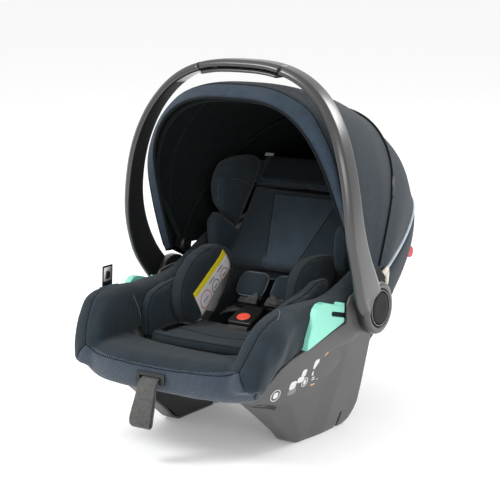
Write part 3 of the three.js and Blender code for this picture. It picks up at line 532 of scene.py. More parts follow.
def stitches(name, path, ups, material):
    """A run of single stitches along a path that lies on a surface."""
    points, faces = [], []
    path, ups = np.array(path, float), np.array(ups, float)
    along = run_along(path)
    for start in np.arange(0.5, along[-1] - STITCH_LENGTH, STITCH_PITCH):
        first, last = (at_distance(s, along, path) for s in (start, start + STITCH_LENGTH))
        up = at_distance(start, along, ups)
        up /= np.linalg.norm(up) + 1e-9
        tangent = (last - first) / (np.linalg.norm(last - first) + 1e-9)
        across = np.cross(tangent, up)
        faces += body_faces(len(STITCH_SHAPE), 6, len(points))
        for share, swell, rise in STITCH_SHAPE:
            middle = mix(first, last, share) + up * (STITCH_LIFT + rise * STITCH_RADIUS)
            points += [middle + across * a + up * b for a, b in circle(STITCH_RADIUS * swell, 6)]
    return make(name, points, faces, [material])


def ride(obj, body, *nodes, slot=None):
    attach(obj, body)
    if nodes:
        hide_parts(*nodes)
    return obj


# ---------------- soft pieces


def coordinates(mesh, kind="co"):
    """A mesh's points, or its normals, one row each."""
    values = np.empty(len(mesh.vertices) * 3)
    mesh.vertices.foreach_get(kind, values)
    return values.reshape(-1, 3)


def inflate(obj, voxel=5.0, pressure=4.0, cap=6.0, frames=18, even=2):
    """Pads a closed piece out with a short cloth simulation, then smooths and subdivides it."""
    modify(obj, "REMESH", mode="VOXEL", voxel_size=voxel / 1000)
    obj.data.shade_smooth()
    start = coordinates(obj.data)
    cloth = obj.modifiers.new("cloth", "CLOTH")
    cloth.settings.quality = 4
    cloth.settings.use_pressure = True
    cloth.settings.uniform_pressure_force = pressure
    cloth.settings.effector_weights.gravity = 0
    cloth.settings.bending_stiffness = 0.6
    cloth.point_cache.frame_start, cloth.point_cache.frame_end = 1, frames
    for step in range(1, frames + 1):
        scene.frame_set(step)
    swollen = obj.evaluated_get(bpy.context.evaluated_depsgraph_get())
    move = coordinates(swollen.to_mesh()) - start
    swollen.to_mesh_clear()
    obj.modifiers.clear()
    size = np.linalg.norm(move, axis=1, keepdims=True)
    move *= np.minimum(1, cap / 1000 / np.maximum(size, 1e-9))
    obj.data.vertices.foreach_set("co", (start + move).ravel())
    scene.frame_set(1)
    modify(obj, "SMOOTH", factor=0.5, iterations=even)
    modify(obj, "SUBSURF", levels=1, render_levels=1)
    obj.data.shade_smooth()
    return obj


def surface_of(obj):
    """A search tree of an object's surface, for laying seams on it."""
    return BVHTree.FromObject(obj, bpy.context.evaluated_depsgraph_get())


def laid_on(tree, path, lift=0.0):
    """A millimetre path moved to the nearest place on a surface, and the way out at each point."""
    points, ups = [], []
    for p in path:
        found, normal, _, _ = tree.find_nearest(metres(p))
        points.append(np.array(found) * 1000 - np.array((0, TO_MIDDLE, 0)) + np.array(normal) * lift)
        ups.append(np.array(normal))
    return points, ups


def evened(points, rounds, closed=False):
    """Points moved towards the middle of their neighbours, the ends kept."""
    points = np.array(points, float)
    for _ in range(rounds):
        middle = (np.roll(points, 1, 0) + np.roll(points, -1, 0)) / 2
        if not closed:
            middle[0], middle[-1] = points[0], points[-1]
        points = (points + middle) / 2
    return points


def seam(name, tree, path, material, radius=1.0, lift=0.0, count=60, closed=False):
    """Piping or a seam ridge that lies on a surface."""
    points, ups = laid_on(tree, curve(path, count, closed), lift)
    points, ups = evened(points, 10, closed), evened(ups, 16, closed)
    return sweep(name, points, circle(radius, 6), [material], up=ups, closed=closed)


def sew(*how, slot="navy_fabric", **more):
    """A seam that belongs to the seat."""
    return ride(seam(*how, **more), "seat", slot=slot)


def paint(obj, material):
    """Gives an object one material."""
    obj.data.materials.clear()
    obj.data.materials.append(material)
    for face in obj.data.polygons:
        face.material_index = 0


def soft(name, node, material, slot, voxel=4.5, cap=6.0, fill=0.8):
    """A padded piece that starts from the CAD's plain solid and stands for it."""
    obj = add_object(name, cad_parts[node].data.copy())
    inflate(obj, voxel, cap=cap)
    paint(obj, material)
    ride(obj, "seat", node, slot=slot)
    return obj


def crease(obj, path, depth=1.4, width=5.0):
    """Presses a groove into a soft piece along a path."""
    dense = np.array([metres(p) for p in curve(path, 120)])
    mesh = obj.data
    at, normal = coordinates(mesh), coordinates(mesh, "normal")
    low, high = dense.min(0) - width / 1000, dense.max(0) + width / 1000
    near = np.where(((at > low) & (at < high)).all(1))[0]
    if not len(near):
        return
    away = np.linalg.norm(at[near, None, :] - dense[None, :, :], axis=2).min(1) * 1000
    share = np.clip(1 - away / width, 0, 1) ** 2
    at[near] -= normal[near] * (depth / 1000 * share)[:, None]
    mesh.vertices.foreach_set("co", at.ravel())
    mesh.update()


# ---------------- CAD nodes that keep their shape


def finish_node(name, material, bevel):
    """Gives a CAD node its finish and softly rounded edges."""
    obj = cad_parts[name]
    paint(obj, material)
    if bevel:
        edge = obj.modifiers.new("edge", "BEVEL")
        edge.width, edge.segments = bevel / 1000, 2
        edge.limit_method, edge.angle_limit = "ANGLE", math.radians(35)
        edge.harden_normals = True
    obj.data.shade_smooth()


CAD_FINISH = {  # material and edge radius; a name without a node of its own has one on each side
    "foam_liner": (FOAM, 0), "adjuster_housing": (BLACK, 0.4), "backrest_frame": (BLACK, 0.6),
    "release_lever": (BLACK, 1.2), "latch_hooks": (STEEL, 0.6), "adjuster_lever": (STEEL, 0.4),
    "canopy_middle_bow": (LINING, 0), "canopy_front_bow": (LINING, 0),  # steel in a sewn sleeve
    "foot_cover": (BLACK, 0.5), "lever_cap": (RED, 1.5), "lever_bracket": (BLACK, 0.6),
    "pivot_pin": (STEEL, 0.4), "canopy_clip": (DISC, 0.8), "hub_ring": (BLACK, 0.8),
    "lock_button": (BLACK, 1.2), "belt_guide": (MINT, 1.2),
}
for name, (material, bevel) in CAD_FINISH.items():
    for node in [name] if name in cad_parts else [f"{name}_{side}" for side, _ in SIDES]:
        finish_node(node, material, bevel)

# ---------------- the bucket's shape

RIM_Z = [
    (-284, 118), (-250, 130), (-211, 151), (-166, 166), (-116, 176), (-70, 186), (-30, 204), (0, 222),
    (47, 241), (101, 264), (142, 281), (200, 305), (265, 327), (321, 335),
]
FLOOR_Z = [
    (-284, 104), (-250, 92), (-200, 78), (-150, 60), (-100, 52), (0, 52), (60, 68), (120, 102),
    (180, 146), (240, 186), (300, 226), (321, 250),
]


PLAN_Y = -60  # where the bucket's and the roll's plan outlines are widest
RIM_HALF, HEAD_LENGTH, FOOT_LENGTH = 182, 380.6, 224


def bucket_point(angle, latitude, grow):
    """A point of the bucket: angle round from the head end, latitude from the rim (0) to the floor (1)."""
    s, c = math.sin(angle), math.cos(angle)
    power, length = (2.4, HEAD_LENGTH) if c > 0 else (2.7, FOOT_LENGTH)
    rim_x = (RIM_HALF + grow) * signed_power(s, 2 / power)
    rim_y = PLAN_Y + (length + grow) * signed_power(c, 2 / power)
    turn = latitude * math.pi / 2
    head = clamp((c - 0.2) / 0.8, 0, 1)
    beside = clamp(1 - abs(c - 0.45) / 0.4, 0, 1)
    power = mix(2.7, 3.1, head) - 0.6 * beside
    plan = 0 if latitude >= 1 else math.cos(turn) ** (2 / power)
    depth = 0 if latitude <= 0 else math.sin(turn) ** (2 / power)
    x, y = rim_x * plan, mix(-10, rim_y, plan)
    return np.array((x, y, mix(read(RIM_Z, rim_y), read(FLOOR_Z, y) - grow, depth)))


WALL, LOWEST, ROWS, COLUMNS = 4, 0.985, 40, 128


def bucket_rings(grow):
    turns = [math.tau * i / COLUMNS for i in range(COLUMNS)]
    return [[bucket_point(a, LOWEST * r / ROWS, grow) for a in turns] for r in range(ROWS + 1)]


def make_shell():
    """The hard bucket with its wall and a rounded rim."""
    outer, inner = (bucket_rings(grow) for grow in (0, -WALL))
    lip = [[mix(a, b, 0.5) + (0, 0, 1.2) for a, b in zip(outer[0], inner[0])]]
    shell = loft("seat_shell_surface", outer[::-1] + lip + inner, [GREY])
    ride(shell, "seat", "seat_shell", slot="black_plastic")


def make_head_cover():
    """Cloth stretched over the head end, with its two seams and the light piping along the top."""
    rows = []
    for r in range(29):
        latitude = max(mix(-0.004, 0.74, r / 28), 0)
        rows.append([bucket_point(mix(-1.38, 1.38, c / 96), latitude, 4 if r else 3) for c in range(97)])
    cover = grid("head_end_cover_cloth", rows, [CANOPY])
    tidy(modify(cover, "SOLIDIFY", thickness=0.0035, offset=0))
    ride(cover, "seat", "head_end_cover", slot="navy_fabric")
    tree = surface_of(cover)
    for name, side in SIDES:
        line = [bucket_point(side * 0.62, t, 4) for t in np.linspace(0.02, 0.72, 12)]
        sew(f"head_cover_seam_{name}", tree, line, CORDING, 0.9)
    path = [bucket_point(mix(-1.36, 1.36, i / 90), 0, 3) + (0, 0, 4.2) for i in range(91)]
    edge = sweep("rim_piping_cord", path, circle(2.9, 10), [PIPING])
    ride(edge, "seat", "rim_piping", slot="piping")
    for name, side in SIDES:
        end, before = (path[-1], path[-6]) if side > 0 else (path[0], path[5])
        along = (end - before) / np.linalg.norm(end - before)
        line = [end - along * 3, *at_x(((58, 254), (57, 247), (56, 238), (55, 229)), side * 184.5)]
        narrowing = lambda t: [(a * (1 - 0.25 * t), b * (1 - 0.2 * t)) for a, b in circle(4.4, 10)]
        ride(sweep(f"piping_end_{name}", line, narrowing, [CREAM]), "seat", slot="piping")


# ---------------- carry handle

LEG_FRONT = [
    (196, -44), (209, -60), (248, -87), (295, -106), (334, -114), (400, -115), (450, -113), (500, -107),
    (540, -101), (589, -97),
]
LEG_REAR = [
    (196, 30), (225, 2), (246, -18), (285, -46), (324, -64), (360, -73), (400, -76), (450, -75), (500, -70),
    (540, -65), (589, -61),
]
LEG_FOOT = [(190, 208), (215, 210.5), (235, 214.5), (252, 218), (270, 219.9)]
ARCH_HALF, ARCH_BASE, ARCH_RISE, ARCH_POWER = 220, 270, 319, 2.7
GRIP_TURN = math.acos((77 / ARCH_HALF) ** (ARCH_POWER / 2))  # where the grip's split line is
SPLIT = 0.006  # half the gap of that line, as a turn
HUB = (-5, 204)
BAR_THICK, BAR_INSIDE = 14, 191
BAR_SECTION = [(0, 0.16), (0, 0.88), (0.28, 1), (0.86, 1), (1, 0.92), (1, 0.08), (0.86, 0), (0.5, 0)]
FRONT_LINE = curve(LEG_FRONT, 300)
REAR_LINE = curve(LEG_REAR, 300)
FOOT_LINE = curve(LEG_FOOT, 100)


def handle_ring(outer, inner, z):
    """A bevelled bar's section between an outer and an inner (x, z)."""
    front, rear = read(FRONT_LINE, z), read(REAR_LINE, z)
    thick = np.linalg.norm(np.subtract(outer, inner))
    out = []
    for depth, along in rounded([(d * thick, s * (rear - front)) for d, s in BAR_SECTION], 3.2, 4):
        t = depth / thick
        out.append((mix(outer[0], inner[0], t), front + along, mix(outer[1], inner[1], t)))
    return out


def arch_rings(start, end, steps, shallow, deep):
    """Sections along the arch from one turn to another, between two depths below its outside."""
    rings = []
    for turn in (mix(start, end, i / steps) for i in range(steps + 1)):
        a, b = max(math.sin(turn), 1e-9), max(math.cos(turn), 1e-9)
        normal = np.array((b / ARCH_HALF, a / ARCH_RISE))
        normal /= np.linalg.norm(normal)
        at = np.array((ARCH_HALF * b ** (2 / ARCH_POWER), ARCH_BASE + ARCH_RISE * a ** (2 / ARCH_POWER)))
        rings.append(handle_ring(at - normal * shallow, at - normal * deep, at[1]))
    return rings


def disc(name, side, profile, material, centre=HUB, hollow=False):
    """A turned body about the hub's axis from (radius, x) points; a hollow one is a hoop."""
    profile = profile + profile[:1] if hollow else profile
    rings = [[(side * x, centre[0] + a, centre[1] + b) for a, b in circle(radius, 64)] for radius, x in profile]
    return tidy(grid(name, rings, [material], closed=True)) if hollow else loft(name, rings, [material])


RECESS = [(0.5, 194), (31.3, 194), (31.3, 232), (0.5, 232)]  # these are (radius, x)
HUB_DISC = [
    (0.5, 190), (38, 190), (41, 191), (42, 193), (42, 203), (41, 206.4), (38.5, 208.2), (34, 208.5),
    (31.6, 208.4), (31.2, 207.6), (31.2, 196), (0.5, 196),
]
HUB_RING = [
    (26.4, 196.6), (26.3, 207.6), (27.2, 208.9), (28.2, 208.9), (28.6, 208.2), (29.4, 208.2), (29.8, 208.9),
    (30.4, 208.7), (30.9, 207.6), (30.9, 196.6),
]
# painted highlight: a thin light grey hoop on the hub ring's crest
RING_HIGHLIGHT = [(27.1, 208.6), (27.2, 209.2), (28.2, 209.2), (28.3, 208.6)]
BUTTON = [
    (0.4, 201.8), (24.6, 201.8), (25.5, 202.6), (25.5, 207.4), (24.9, 208.7), (23.4, 209.2), (14, 208.7), (0.4, 208.5),
]


def make_handle():
    foot = []
    for z in np.linspace(192, 268, 14):
        x = read(FOOT_LINE, z)
        foot.append(handle_ring((x, z), (max(x - BAR_THICK, BAR_INSIDE), z), z))
    leg_rings = foot + arch_rings(0.02, GRIP_TURN - SPLIT, 56, 0, BAR_THICK)
    for name, side in SIDES:
        bar = loft(f"handle_leg_bar_{name}", [mirrored(ring, side) for ring in leg_rings], [HANDLE, LEG_SHADE])
        recess = disc(f"hub_cutter_{name}", side, RECESS, HANDLE)
        modify(bar, "BOOLEAN", object=recess, operation="DIFFERENCE", solver="EXACT")
        bpy.data.objects.remove(recess)
        # the faces towards the seat get the near-black painted shade
        shade_inner_faces(bar, side)
        leg = joined(f"handle_leg_body_{name}", [bar, disc(f"handle_hub_{name}", side, HUB_DISC, HANDLE)])
        ride(leg, "handle", f"handle_leg_{name}", slot="grey_lacquer")
    for name, shallow, deep in (("top", 0, 12), ("bottom", 12.35, 20)):
        right = arch_rings(GRIP_TURN + SPLIT, math.pi / 2, 26, shallow, deep)
        grip = loft(f"grip_{name}_shell", right + [mirrored(ring, -1) for ring in right[-2::-1]], [HANDLE])
        ride(grip, "handle", f"grip_{name}", slot="grey_lacquer")
    for name, side in SIDES:
        ring = disc(f"hub_ring_face_{name}", side, HUB_RING, DISC, hollow=True)
        ride(ring, "handle", f"hub_ring_{name}", slot="black_plastic")
        # a light grey hoop on the ring's crest stands for its highlight: painted highlight
        line = disc(f"hub_ring_line_{name}", side, RING_HIGHLIGHT, GREY_PRINT_AND_HIGHLIGHT, hollow=True)
        ride(line, "handle", slot="black_plastic")
        face = disc(f"lock_button_face_{name}", side, BUTTON, DISC)
        ride(face, f"lock_button_{name}", f"lock_button_{name}", slot="black_plastic")


def shade_inner_faces(bar, side):
    """Paints a leg's faces that turn towards the seat near-black: painted shade, as that side gets no light."""
    for face in bar.data.polygons:
        if face.normal.x * side < -0.55 and abs(face.normal.y) < 0.5:
            face.material_index = 1


# ---------------- canopy

CANOPY_Y, CANOPY_Z = -8, 268
ARCHES = {  # half width, foot height, top height, power, and the lean Y at a height
    "rim": (174, 276, 531, 3.0, lambda z: -55 - 65 * math.sin(clamp((z - 318) / 213, 0, 1) * math.pi / 2)),
    "crest": (193, 262, 551, 2.9, lambda z: mix(-42, -94, clamp((z - 262) / 150, 0, 1) ** 0.7)),
    "sag": (196, 262, 528, 2.5, lambda z: mix(0, 66, (z - 262) / 266)),
    "middle": (196, 268, 491, 2.15, lambda z: mix(CANOPY_Y, 181, (z - 268) / 223)),
}
TURN = 0.1  # how far up its arch the cloth begins, in radians
AROUND = 88  # columns of the cloth round the canopy
FEET = {"rim": (181, -31, 264), "crest": (187, -38, 258), "sag": (191, -6, 256), "middle": (191, 16, 262)}


def arch_point(name, turn, inset=0.0):
    """A point of a canopy arch, which runs in to its foot by the pivot at both ends."""
    half, base, top, power, lean = ARCHES[name]
    x = (half - inset) * signed_power(math.cos(turn), 2 / power)
    z = base + (top - inset - base) * abs(math.sin(turn)) ** (2 / power)
    point = np.array((x, lean(z), z))
    low = 1 - smooth_step(min(turn, math.pi - turn), TURN, 0.52)
    fx, fy, fz = FEET[name]
    foot = np.array((math.copysign(fx - inset, x), fy, fz))
    return mix(point, foot, low**1.6)


def cloth_turn(share):
    return mix(TURN, math.pi - TURN, share)


def rear_edge(share, inset=0.0):
    return bucket_point(mix(1.28, -1.28, share), 0, 3 - inset) + (0, 0, 7)


def rear_bulge(share, inset=0.0):
    """The rear cloth's middle line, swollen away from a point inside the canopy."""
    middle = mix(arch_point("middle", cloth_turn(share), inset), rear_edge(share, inset), 0.5)
    swell = 1 + 0.085 * math.sin(math.pi * share)
    return np.array((middle[0] * 1.03, mix(60, middle[1], swell), mix(250, middle[2], swell)))


def canopy_columns(makers, rows):
    """For each place round the canopy, a smooth line from the front of a sheet to its back."""
    return [curve([maker(c / AROUND) for maker in makers], rows) for c in range(AROUND + 1)]


def cloth_sheet(name, columns, materials, pick=None):
    """A lined sheet; pick gives each face's material."""
    rows = list(zip(*columns))
    faces = pick and [pick(r, c) for r in range(len(rows) - 1) for c in range(len(columns) - 1)]
    sheet = grid(name, rows, materials, face_materials=faces)
    point = sheet.data.polygons[len(sheet.data.polygons) // 2]
    if point.normal.dot(point.center - Vector((0, 0.02, 0.3))) <= 0:
        sheet.data.flip_normals()
    lining = len(materials) - 1
    return modify(sheet, "SOLIDIFY", thickness=0.0024, offset=-1, material_offset=lining, material_offset_rim=0)


def arch_line(name, low, high, count, inset):
    """A line under or over an arch's cloth."""
    return [arch_point(name, cloth_turn(s), inset) for s in np.linspace(low, high, count)]


def make_canopy():
    makers = [lambda s, n=n: arch_point(n, cloth_turn(s)) for n in ("rim", "crest", "sag", "middle")]
    columns = canopy_columns(makers, 61)
    crest_rows = []
    for c, column in enumerate(columns):
        crest = arch_point("crest", cloth_turn(c / AROUND))
        crest_rows.append(int(np.argmin(np.linalg.norm(column - crest, axis=1))))
    band = lambda r, c: 1 if r < crest_rows[c] else 0
    front = cloth_sheet("canopy_front_cloth", columns, [CANOPY, BAND, LINING], band)
    rear = cloth_sheet("canopy_rear_cloth", canopy_columns([makers[3], rear_bulge, rear_edge], 41), [CANOPY, LINING])
    blend_front(front, "canopy_front_fabric")
    blend_rear(rear, "canopy_rear_fabric")

    tree = surface_of(front)
    rim = [makers[0](i / 120) for i in range(121)]
    blend_front(sweep("canopy_edge_binding", rim, circle(2.1, 8), [CORDING]))
    crest = [columns[c][crest_rows[c]] for c in range(2, AROUND - 1)]
    blend_front(seam("canopy_crest_seam", tree, crest, CORDING, 1.1, 0.1, 160))
    for i, share in enumerate((0.12, 0.22)):
        row = [columns[c][max(1, int(round(crest_rows[c] * share)))] for c in range(2, AROUND - 1)]
        blend_front(stitches(f"canopy_band_stitches_{i + 1}", *laid_on(tree, curve(row, 260)), THREAD))
    inner = arch_line("middle", 0.02, 0.98, 140, -0.6)
    middle = sweep("canopy_middle_seam", inner, [(a * 1.9, b) for a, b in circle(1.7, 8)], [CORDING])
    ride(middle, "canopy_middle", slot="navy_fabric")
    near, far = (np.array(arch_line(name, 0.03, 0.97, 120, 4.2)) for name in ("crest", "sag"))
    points, ups = laid_on(tree, mix(near, far, 0.55))
    blend_front(sweep("canopy_lining_seam", points, circle(1.6, 6), [DARK], up=ups))
    below, top = arch_line("middle", 0.116, 0.160, 2, -3.2)
    tab = sweep("canopy_side_tab", [below, mix(below, top, 0.5), top], flat(9, 2.2), [BLACK], up=(1, 0.1, 0.2))
    ride(tab, "canopy_middle", slot="black_plastic")


def blend_front(obj, *nodes):
    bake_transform(obj)
    if nodes:
        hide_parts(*nodes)


def blend_rear(obj, *nodes):
    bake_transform(obj)
    if nodes:
        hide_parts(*nodes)


make_shell()
make_head_cover()
make_handle()
make_canopy()

# ---------------- seat cover over the bucket's edge

PANEL_TOP = [(-275, 90), (-262, 106), (-242, 127), (-228, 148), (-211, 159), (-193, 165), (-166, 171)]
PANEL_EDGE = [
    (-330, 190), (-312, 150), (-298, 146), (-284, 146), (-270, 147), (-262, 148), (-242, 154), (-228, 165),
    (-211, 170.5),
]
ROLL_RINGS = [  # height, and how far the roll stands out of its plan outline there
    (101, -30), (104, -20), (110, -12), (118, -6.5), (128, -2.5), (138, -0.5), (147, -1), (153, -4.5), (157.5, -11),
    (159.5, -22), (159, -45), (156.5, -72), (152, -95), (150.5, -112), (149, -124),
]
ROLL_HALF, ROLL_LENGTH, ROLL_ENDS = 196, 265, np.radians((107.4, 252.6))


def tucked(x, y, z):
    """The cover's width where it goes down inside the side panel's edge."""
    rise = smooth_step(z - read(PANEL_TOP, y), -14, 52)
    return math.copysign(min(abs(x), read(PANEL_EDGE, y) + 30 * rise), x)


def roll_rings():
    rings = []
    turns = np.linspace(*ROLL_ENDS, 72)
    for i, (z, out) in enumerate(ROLL_RINGS):
        ring = []
        for a in turns:
            x = (ROLL_HALF + out) * signed_power(math.sin(a), 0.5)
            y = PLAN_Y + (ROLL_LENGTH + out) * signed_power(math.cos(a), 0.5)
            y = min(y, -190) if out < -40 else y
            floor = mix(100, read(PANEL_TOP, y) + 1, smooth_step(abs(x), 116, 150))
            height = max(min(z, 150 + 0.6 * max(0.0, -204 - y)), min(floor, 150)) + i * 0.05
            ring.append((tucked(x, y, height), y, height))
        rings.append(ring)
    return rings


SIDE_STATIONS = [  # y, outer x, inner x, top z, bottom z
    (-312, 156, 130, 150, 128), (-300, 170, 126, 167, 127), (-284, 181, 125, 190, 126), (-266, 187, 125, 211, 126),
    (-244, 184, 126, 224, 131), (-222, 177, 128, 231, 150), (-200, 172, 130, 234, 160), (-180, 171.2, 131, 235, 160),
    (-165, 171.2, 132, 235, 158), (-130, 171.2, 136, 236, 158), (-100, 171.2, 140, 236, 158),
    (-60, 171.2, 140, 240, 165), (-30, 171.2, 142, 250, 182), (0, 171.2, 144, 262, 198), (60, 171.2, 150, 285, 226),
]
LEFT_FULLNESS = [(-312, 0), (-300, 8), (-284, 15), (-266, 14), (-244, 10), (-222, 6), (-200, 3), (-165, 0)]


def side_rings(side):
    """Sections of a side cushion with a rounded top; the left one stands a little fuller."""
    rings = []
    table = np.array(SIDE_STATIONS, float)
    for y in np.linspace(table[0, 0], table[-1, 0], 60):
        outer, inner, top, bottom = at_distance(y, table[:, 0], table[:, 1:])
        if side < 0:
            top += read(LEFT_FULLNESS, y)
        middle, half = (outer + inner) / 2, (outer - inner) / 2
        ring = [(side * inner, y, bottom), (side * outer, y, bottom)]
        for a in (math.pi * k / 16 for k in range(17)):
            x = middle + half * signed_power(math.cos(a), 0.72)
            ring.append((side * x, y, top - half * 1.15 * (1 - signed_power(math.sin(a), 0.72))))
        rings.append([(tucked(x, y, z), y, z) for x, _, z in ring] if y < -205 else ring)
    return rings


# seams of the cover on the right side; the front one runs from corner to corner
COVER_CORNER = [(143, -303, 158), (149, -303, 147), (156, -299, 132), (163, -290, 116), (167, -282, 103)]
COVER_RIDGE = [
    (143, -303, 158), (146, -299, 170), (150, -288, 187), (154, -268, 208), (158, -245, 223), (160, -226, 230),
]
COVER_FRONT = [
    (-143, -303, 158), (-110, -317, 154), (-60, -323, 151), (0, -324, 150), (60, -323, 151), (110, -317, 154),
    (143, -303, 158),
]
COVER_ARC = [(166, -236, 226), (156, -216, 224), (144, -200, 208), (134, -188, 186), (130, -183, 164)]


def make_cover():
    """One sewn cover: the roll round the foot end and a cushion up each side."""
    parts = [loft("seat_cover", roll_rings(), [NAVY])]
    for name, side in SIDES:
        parts.append(loft(f"side_part_{name}", side_rings(side), [NAVY]))
    cover = joined("seat_cover", parts)
    inflate(cover, 4.5, 3.0, 4.0, 14, even=10)
    tree = surface_of(cover)
    paint(cover, NAVY)
    cover.data.materials.append(MESH)
    lower, wall = curve(COVER_FRONT, 60), curve(COVER_CORNER, 40)
    for face in cover.data.polygons:
        x, y, z = face.center * 1000
        below = z < np.interp(x, lower[:, 0], lower[:, 2]) and y - TO_MIDDLE < -255
        within = abs(x) < np.interp(-z, -wall[:, 2], wall[:, 0])
        face.material_index = 1 if below and within else 0
    lines = {"cover_front_seam": COVER_FRONT}
    for name, side in SIDES:
        lines[f"cover_corner_seam_{name}"] = mirrored(COVER_CORNER, side)
        lines[f"cover_ridge_seam_{name}"] = mirrored(COVER_RIDGE, side)
    for line in lines.values():
        crease(cover, evened(laid_on(tree, curve(line, 40))[0], 8), 1.6, 6)
    ride(cover, "seat", "front_cushion", "side_cushion_left", "side_cushion_right", slot="light_navy_fabric")
    tree = surface_of(cover)
    for name, line in lines.items():
        sew(name, tree, line, CORDING, 0.8, 0.1, 80)
    for name, side in SIDES:
        sew(f"cover_light_piping_{name}", tree, mirrored(COVER_ARC, side), FINE_PIPING, 1.0, 0.6, 70, slot="piping")


make_cover()

# ---------------- insert and backrest

soft_pieces = {
    node: soft(name, node, material, slot, *how)
    for name, node, material, slot, *how in (  # the last two are the voxel size and the most it swells
        ("base_cushion_pad", "base_cushion", DARK, "dark_fabric"),
        ("insert_pad_cloth", "insert_pad", NAVY, "navy_fabric", 3.5, 3.0),
        ("crotch_pad_cloth", "crotch_pad", PANEL_CLOTH, "light_navy_fabric", 3.0, 3.0),
        ("back_pad_cloth", "back_pad", DARK, "dark_fabric"),
        ("insert_back_cloth", "insert_back", NAVY, "navy_fabric"),
        ("head_support_cloth", "head_support", NAVY, "navy_fabric"),
        ("insert_bolster_cloth_left", "insert_bolster_left", NAVY, "navy_fabric", 4.5, 5.0),
        ("insert_bolster_cloth_right", "insert_bolster_right", NAVY, "navy_fabric", 4.5, 5.0),
    )
}

BACK = (-42, 152, math.radians(51))


def on_back(x, up, out):
    """A point of the backrest: across, up it and out of it."""
    y, z, slope = BACK
    c, k = math.cos(slope), math.sin(slope)
    return np.array((x, y + up * c - out * k, z + up * k + out * c))


def back_place(point):
    """(across, up the back, out of the back) of a point in metres of the frame."""
    x, y, z = point.x * 1000, point.y * 1000 - TO_MIDDLE - BACK[0], point.z * 1000 - BACK[1]
    c, k = math.cos(BACK[2]), math.sin(BACK[2])
    return x, y * c + z * k, z * c - y * k


def lay_seams(obj, lines, radius=0.8):
    """Seams on a piece; those of the head wings have a lighter edging."""
    tree = surface_of(obj)
    for name, line in lines.items():
        sew(name, tree, line, EDGING if "wing" in name else CORDING, radius, 0.1, 80)


def second_material(obj, material, chosen):
    """Gives a second material to the faces whose place on the back is chosen."""
    obj.data.materials.append(material)
    for face in obj.data.polygons:
        if chosen(*back_place(face.center)):
            face.material_index = 1


PANEL_SIDE = ((64, 246), (55, 213), (45, 175), (36, 141), (30, 112))  # these are (across, up the back)
HEAD_BAND = ((-104, 280), (-60, 273), (0, 270), (60, 273), (104, 280))
HEAD_WING = [(126, 192, 62), (122, 212, 82), (117, 230, 70), (113, 243, 40), (108, 250, 12), (88, 253, 7), (66, 253, 7)]


def dress_back():
    """The back's lighter middle panel with its seams, and the head support's gathered middle."""
    back, head = soft_pieces["insert_back"], soft_pieces["head_support"]
    panel = lambda x, up, out: abs(x) < np.interp(up, (141, 246), (36, 64)) and up < 246 and out > -14
    second_material(back, PANEL_CLOTH, panel)
    lines = {"back_panel_seam_top": [on_back(x, 246, 1) for x in (-64, -30, 0, 30, 64)]}
    for name, side in SIDES:
        lines[f"back_panel_seam_{name}"] = [on_back(side * x, up, 1) for x, up in PANEL_SIDE]
    for line in lines.values():
        crease(back, laid_on(surface_of(back), line)[0], 1.3, 5)
    lay_seams(back, lines)
    second_material(head, DARK, lambda x, up, out: abs(x) < 100 and up > 272)
    for i in range(23):
        x = -92 + i * 8.4
        fold = [on_back(x + 2, 276, 6), on_back(x, 292, 7), on_back(x + 3, 316 + 4 * math.sin(i * 2.1), 6)]
        crease(head, fold, 1.7, 3.4)
    lines = {"head_support_band_seam": [on_back(x, up, 7) for x, up in HEAD_BAND]}
    for name, side in SIDES:
        lines[f"head_support_wing_seam_{name}"] = [on_back(side * x, up, out) for x, up, out in HEAD_WING]
    for line in lines.values():
        crease(head, laid_on(surface_of(head), curve(line, 30))[0], 1.2, 5)
    lay_seams(head, lines, 0.7)
    place = lambda a, b, depth: on_back(-112 + a, 322 + b, -4 + depth)
    tag = plate("head_support_tag", [(-9, 0), (9, 0), (9, 7), (-9, 7)], place, 0, 1.2, [DARK, MARK], 0.3)
    for face in tag.data.polygons:
        face.material_index = 1 if abs(back_place(face.center)[0] + 112) < 6 and face.area > 3e-5 else 0
    ride(tag, "seat", slot="dark_fabric")


WINGS = {  # (y, z) outlines: the left wing lies forward, the right one leans back
    "left": [
        (-142, 208), (-132, 172), (-110, 158), (-84, 161), (-40, 198), (4, 236), (9, 256), (-8, 274), (-45, 283),
        (-95, 272), (-130, 243),
    ],
    "right": [
        (-98, 208), (-92, 178), (-66, 161), (-32, 163), (28, 236), (42, 252), (36, 268), (0, 278), (-48, 278),
        (-80, 262), (-94, 238),
    ],
}
BOLSTER_EDGE = [(-186, 152), (-187, 202), (-172, 220), (-140, 230), (-90, 240), (-60, 248), (-28, 246)]


def make_wings():
    """The insert's side wings: padded leaves with a boxed edge, and a plain label on the left one."""
    for name, side in SIDES:
        outline = rounded(WINGS[name], 16, 5)
        low, high = (79, 105) if name == "left" else (83, 107)
        place = lambda a, b, depth: (side * depth, a, b)
        wing = plate(f"insert_wing_cloth_{name}", outline, place, low, high, [PADDING], 0)
        inflate(wing, 4.5, 4.0, 5.0, 18, even=6)
        ride(wing, "seat", f"insert_wing_{name}", slot="dark_fabric")
        tree = surface_of(wing)
        for where, x in (("inner", low + 2), ("outer", high - 2)):
            line = at_x(outline, side * x)
            sew(f"insert_wing_seam_{where}_{name}", tree, line, CORDING, 0.8, 0.0, 150, closed=True)
        if name == "left":
            make_wing_label(tree)
    for name, side in SIDES:
        tree = surface_of(soft_pieces[f"insert_bolster_{name}"])
        for where, x in (("inner", 111), ("outer", 127)):
            line = at_x(BOLSTER_EDGE, side * x)
            sew(f"insert_bolster_seam_{where}_{name}", tree, line, CORDING, 0.8, 0.0, 110)


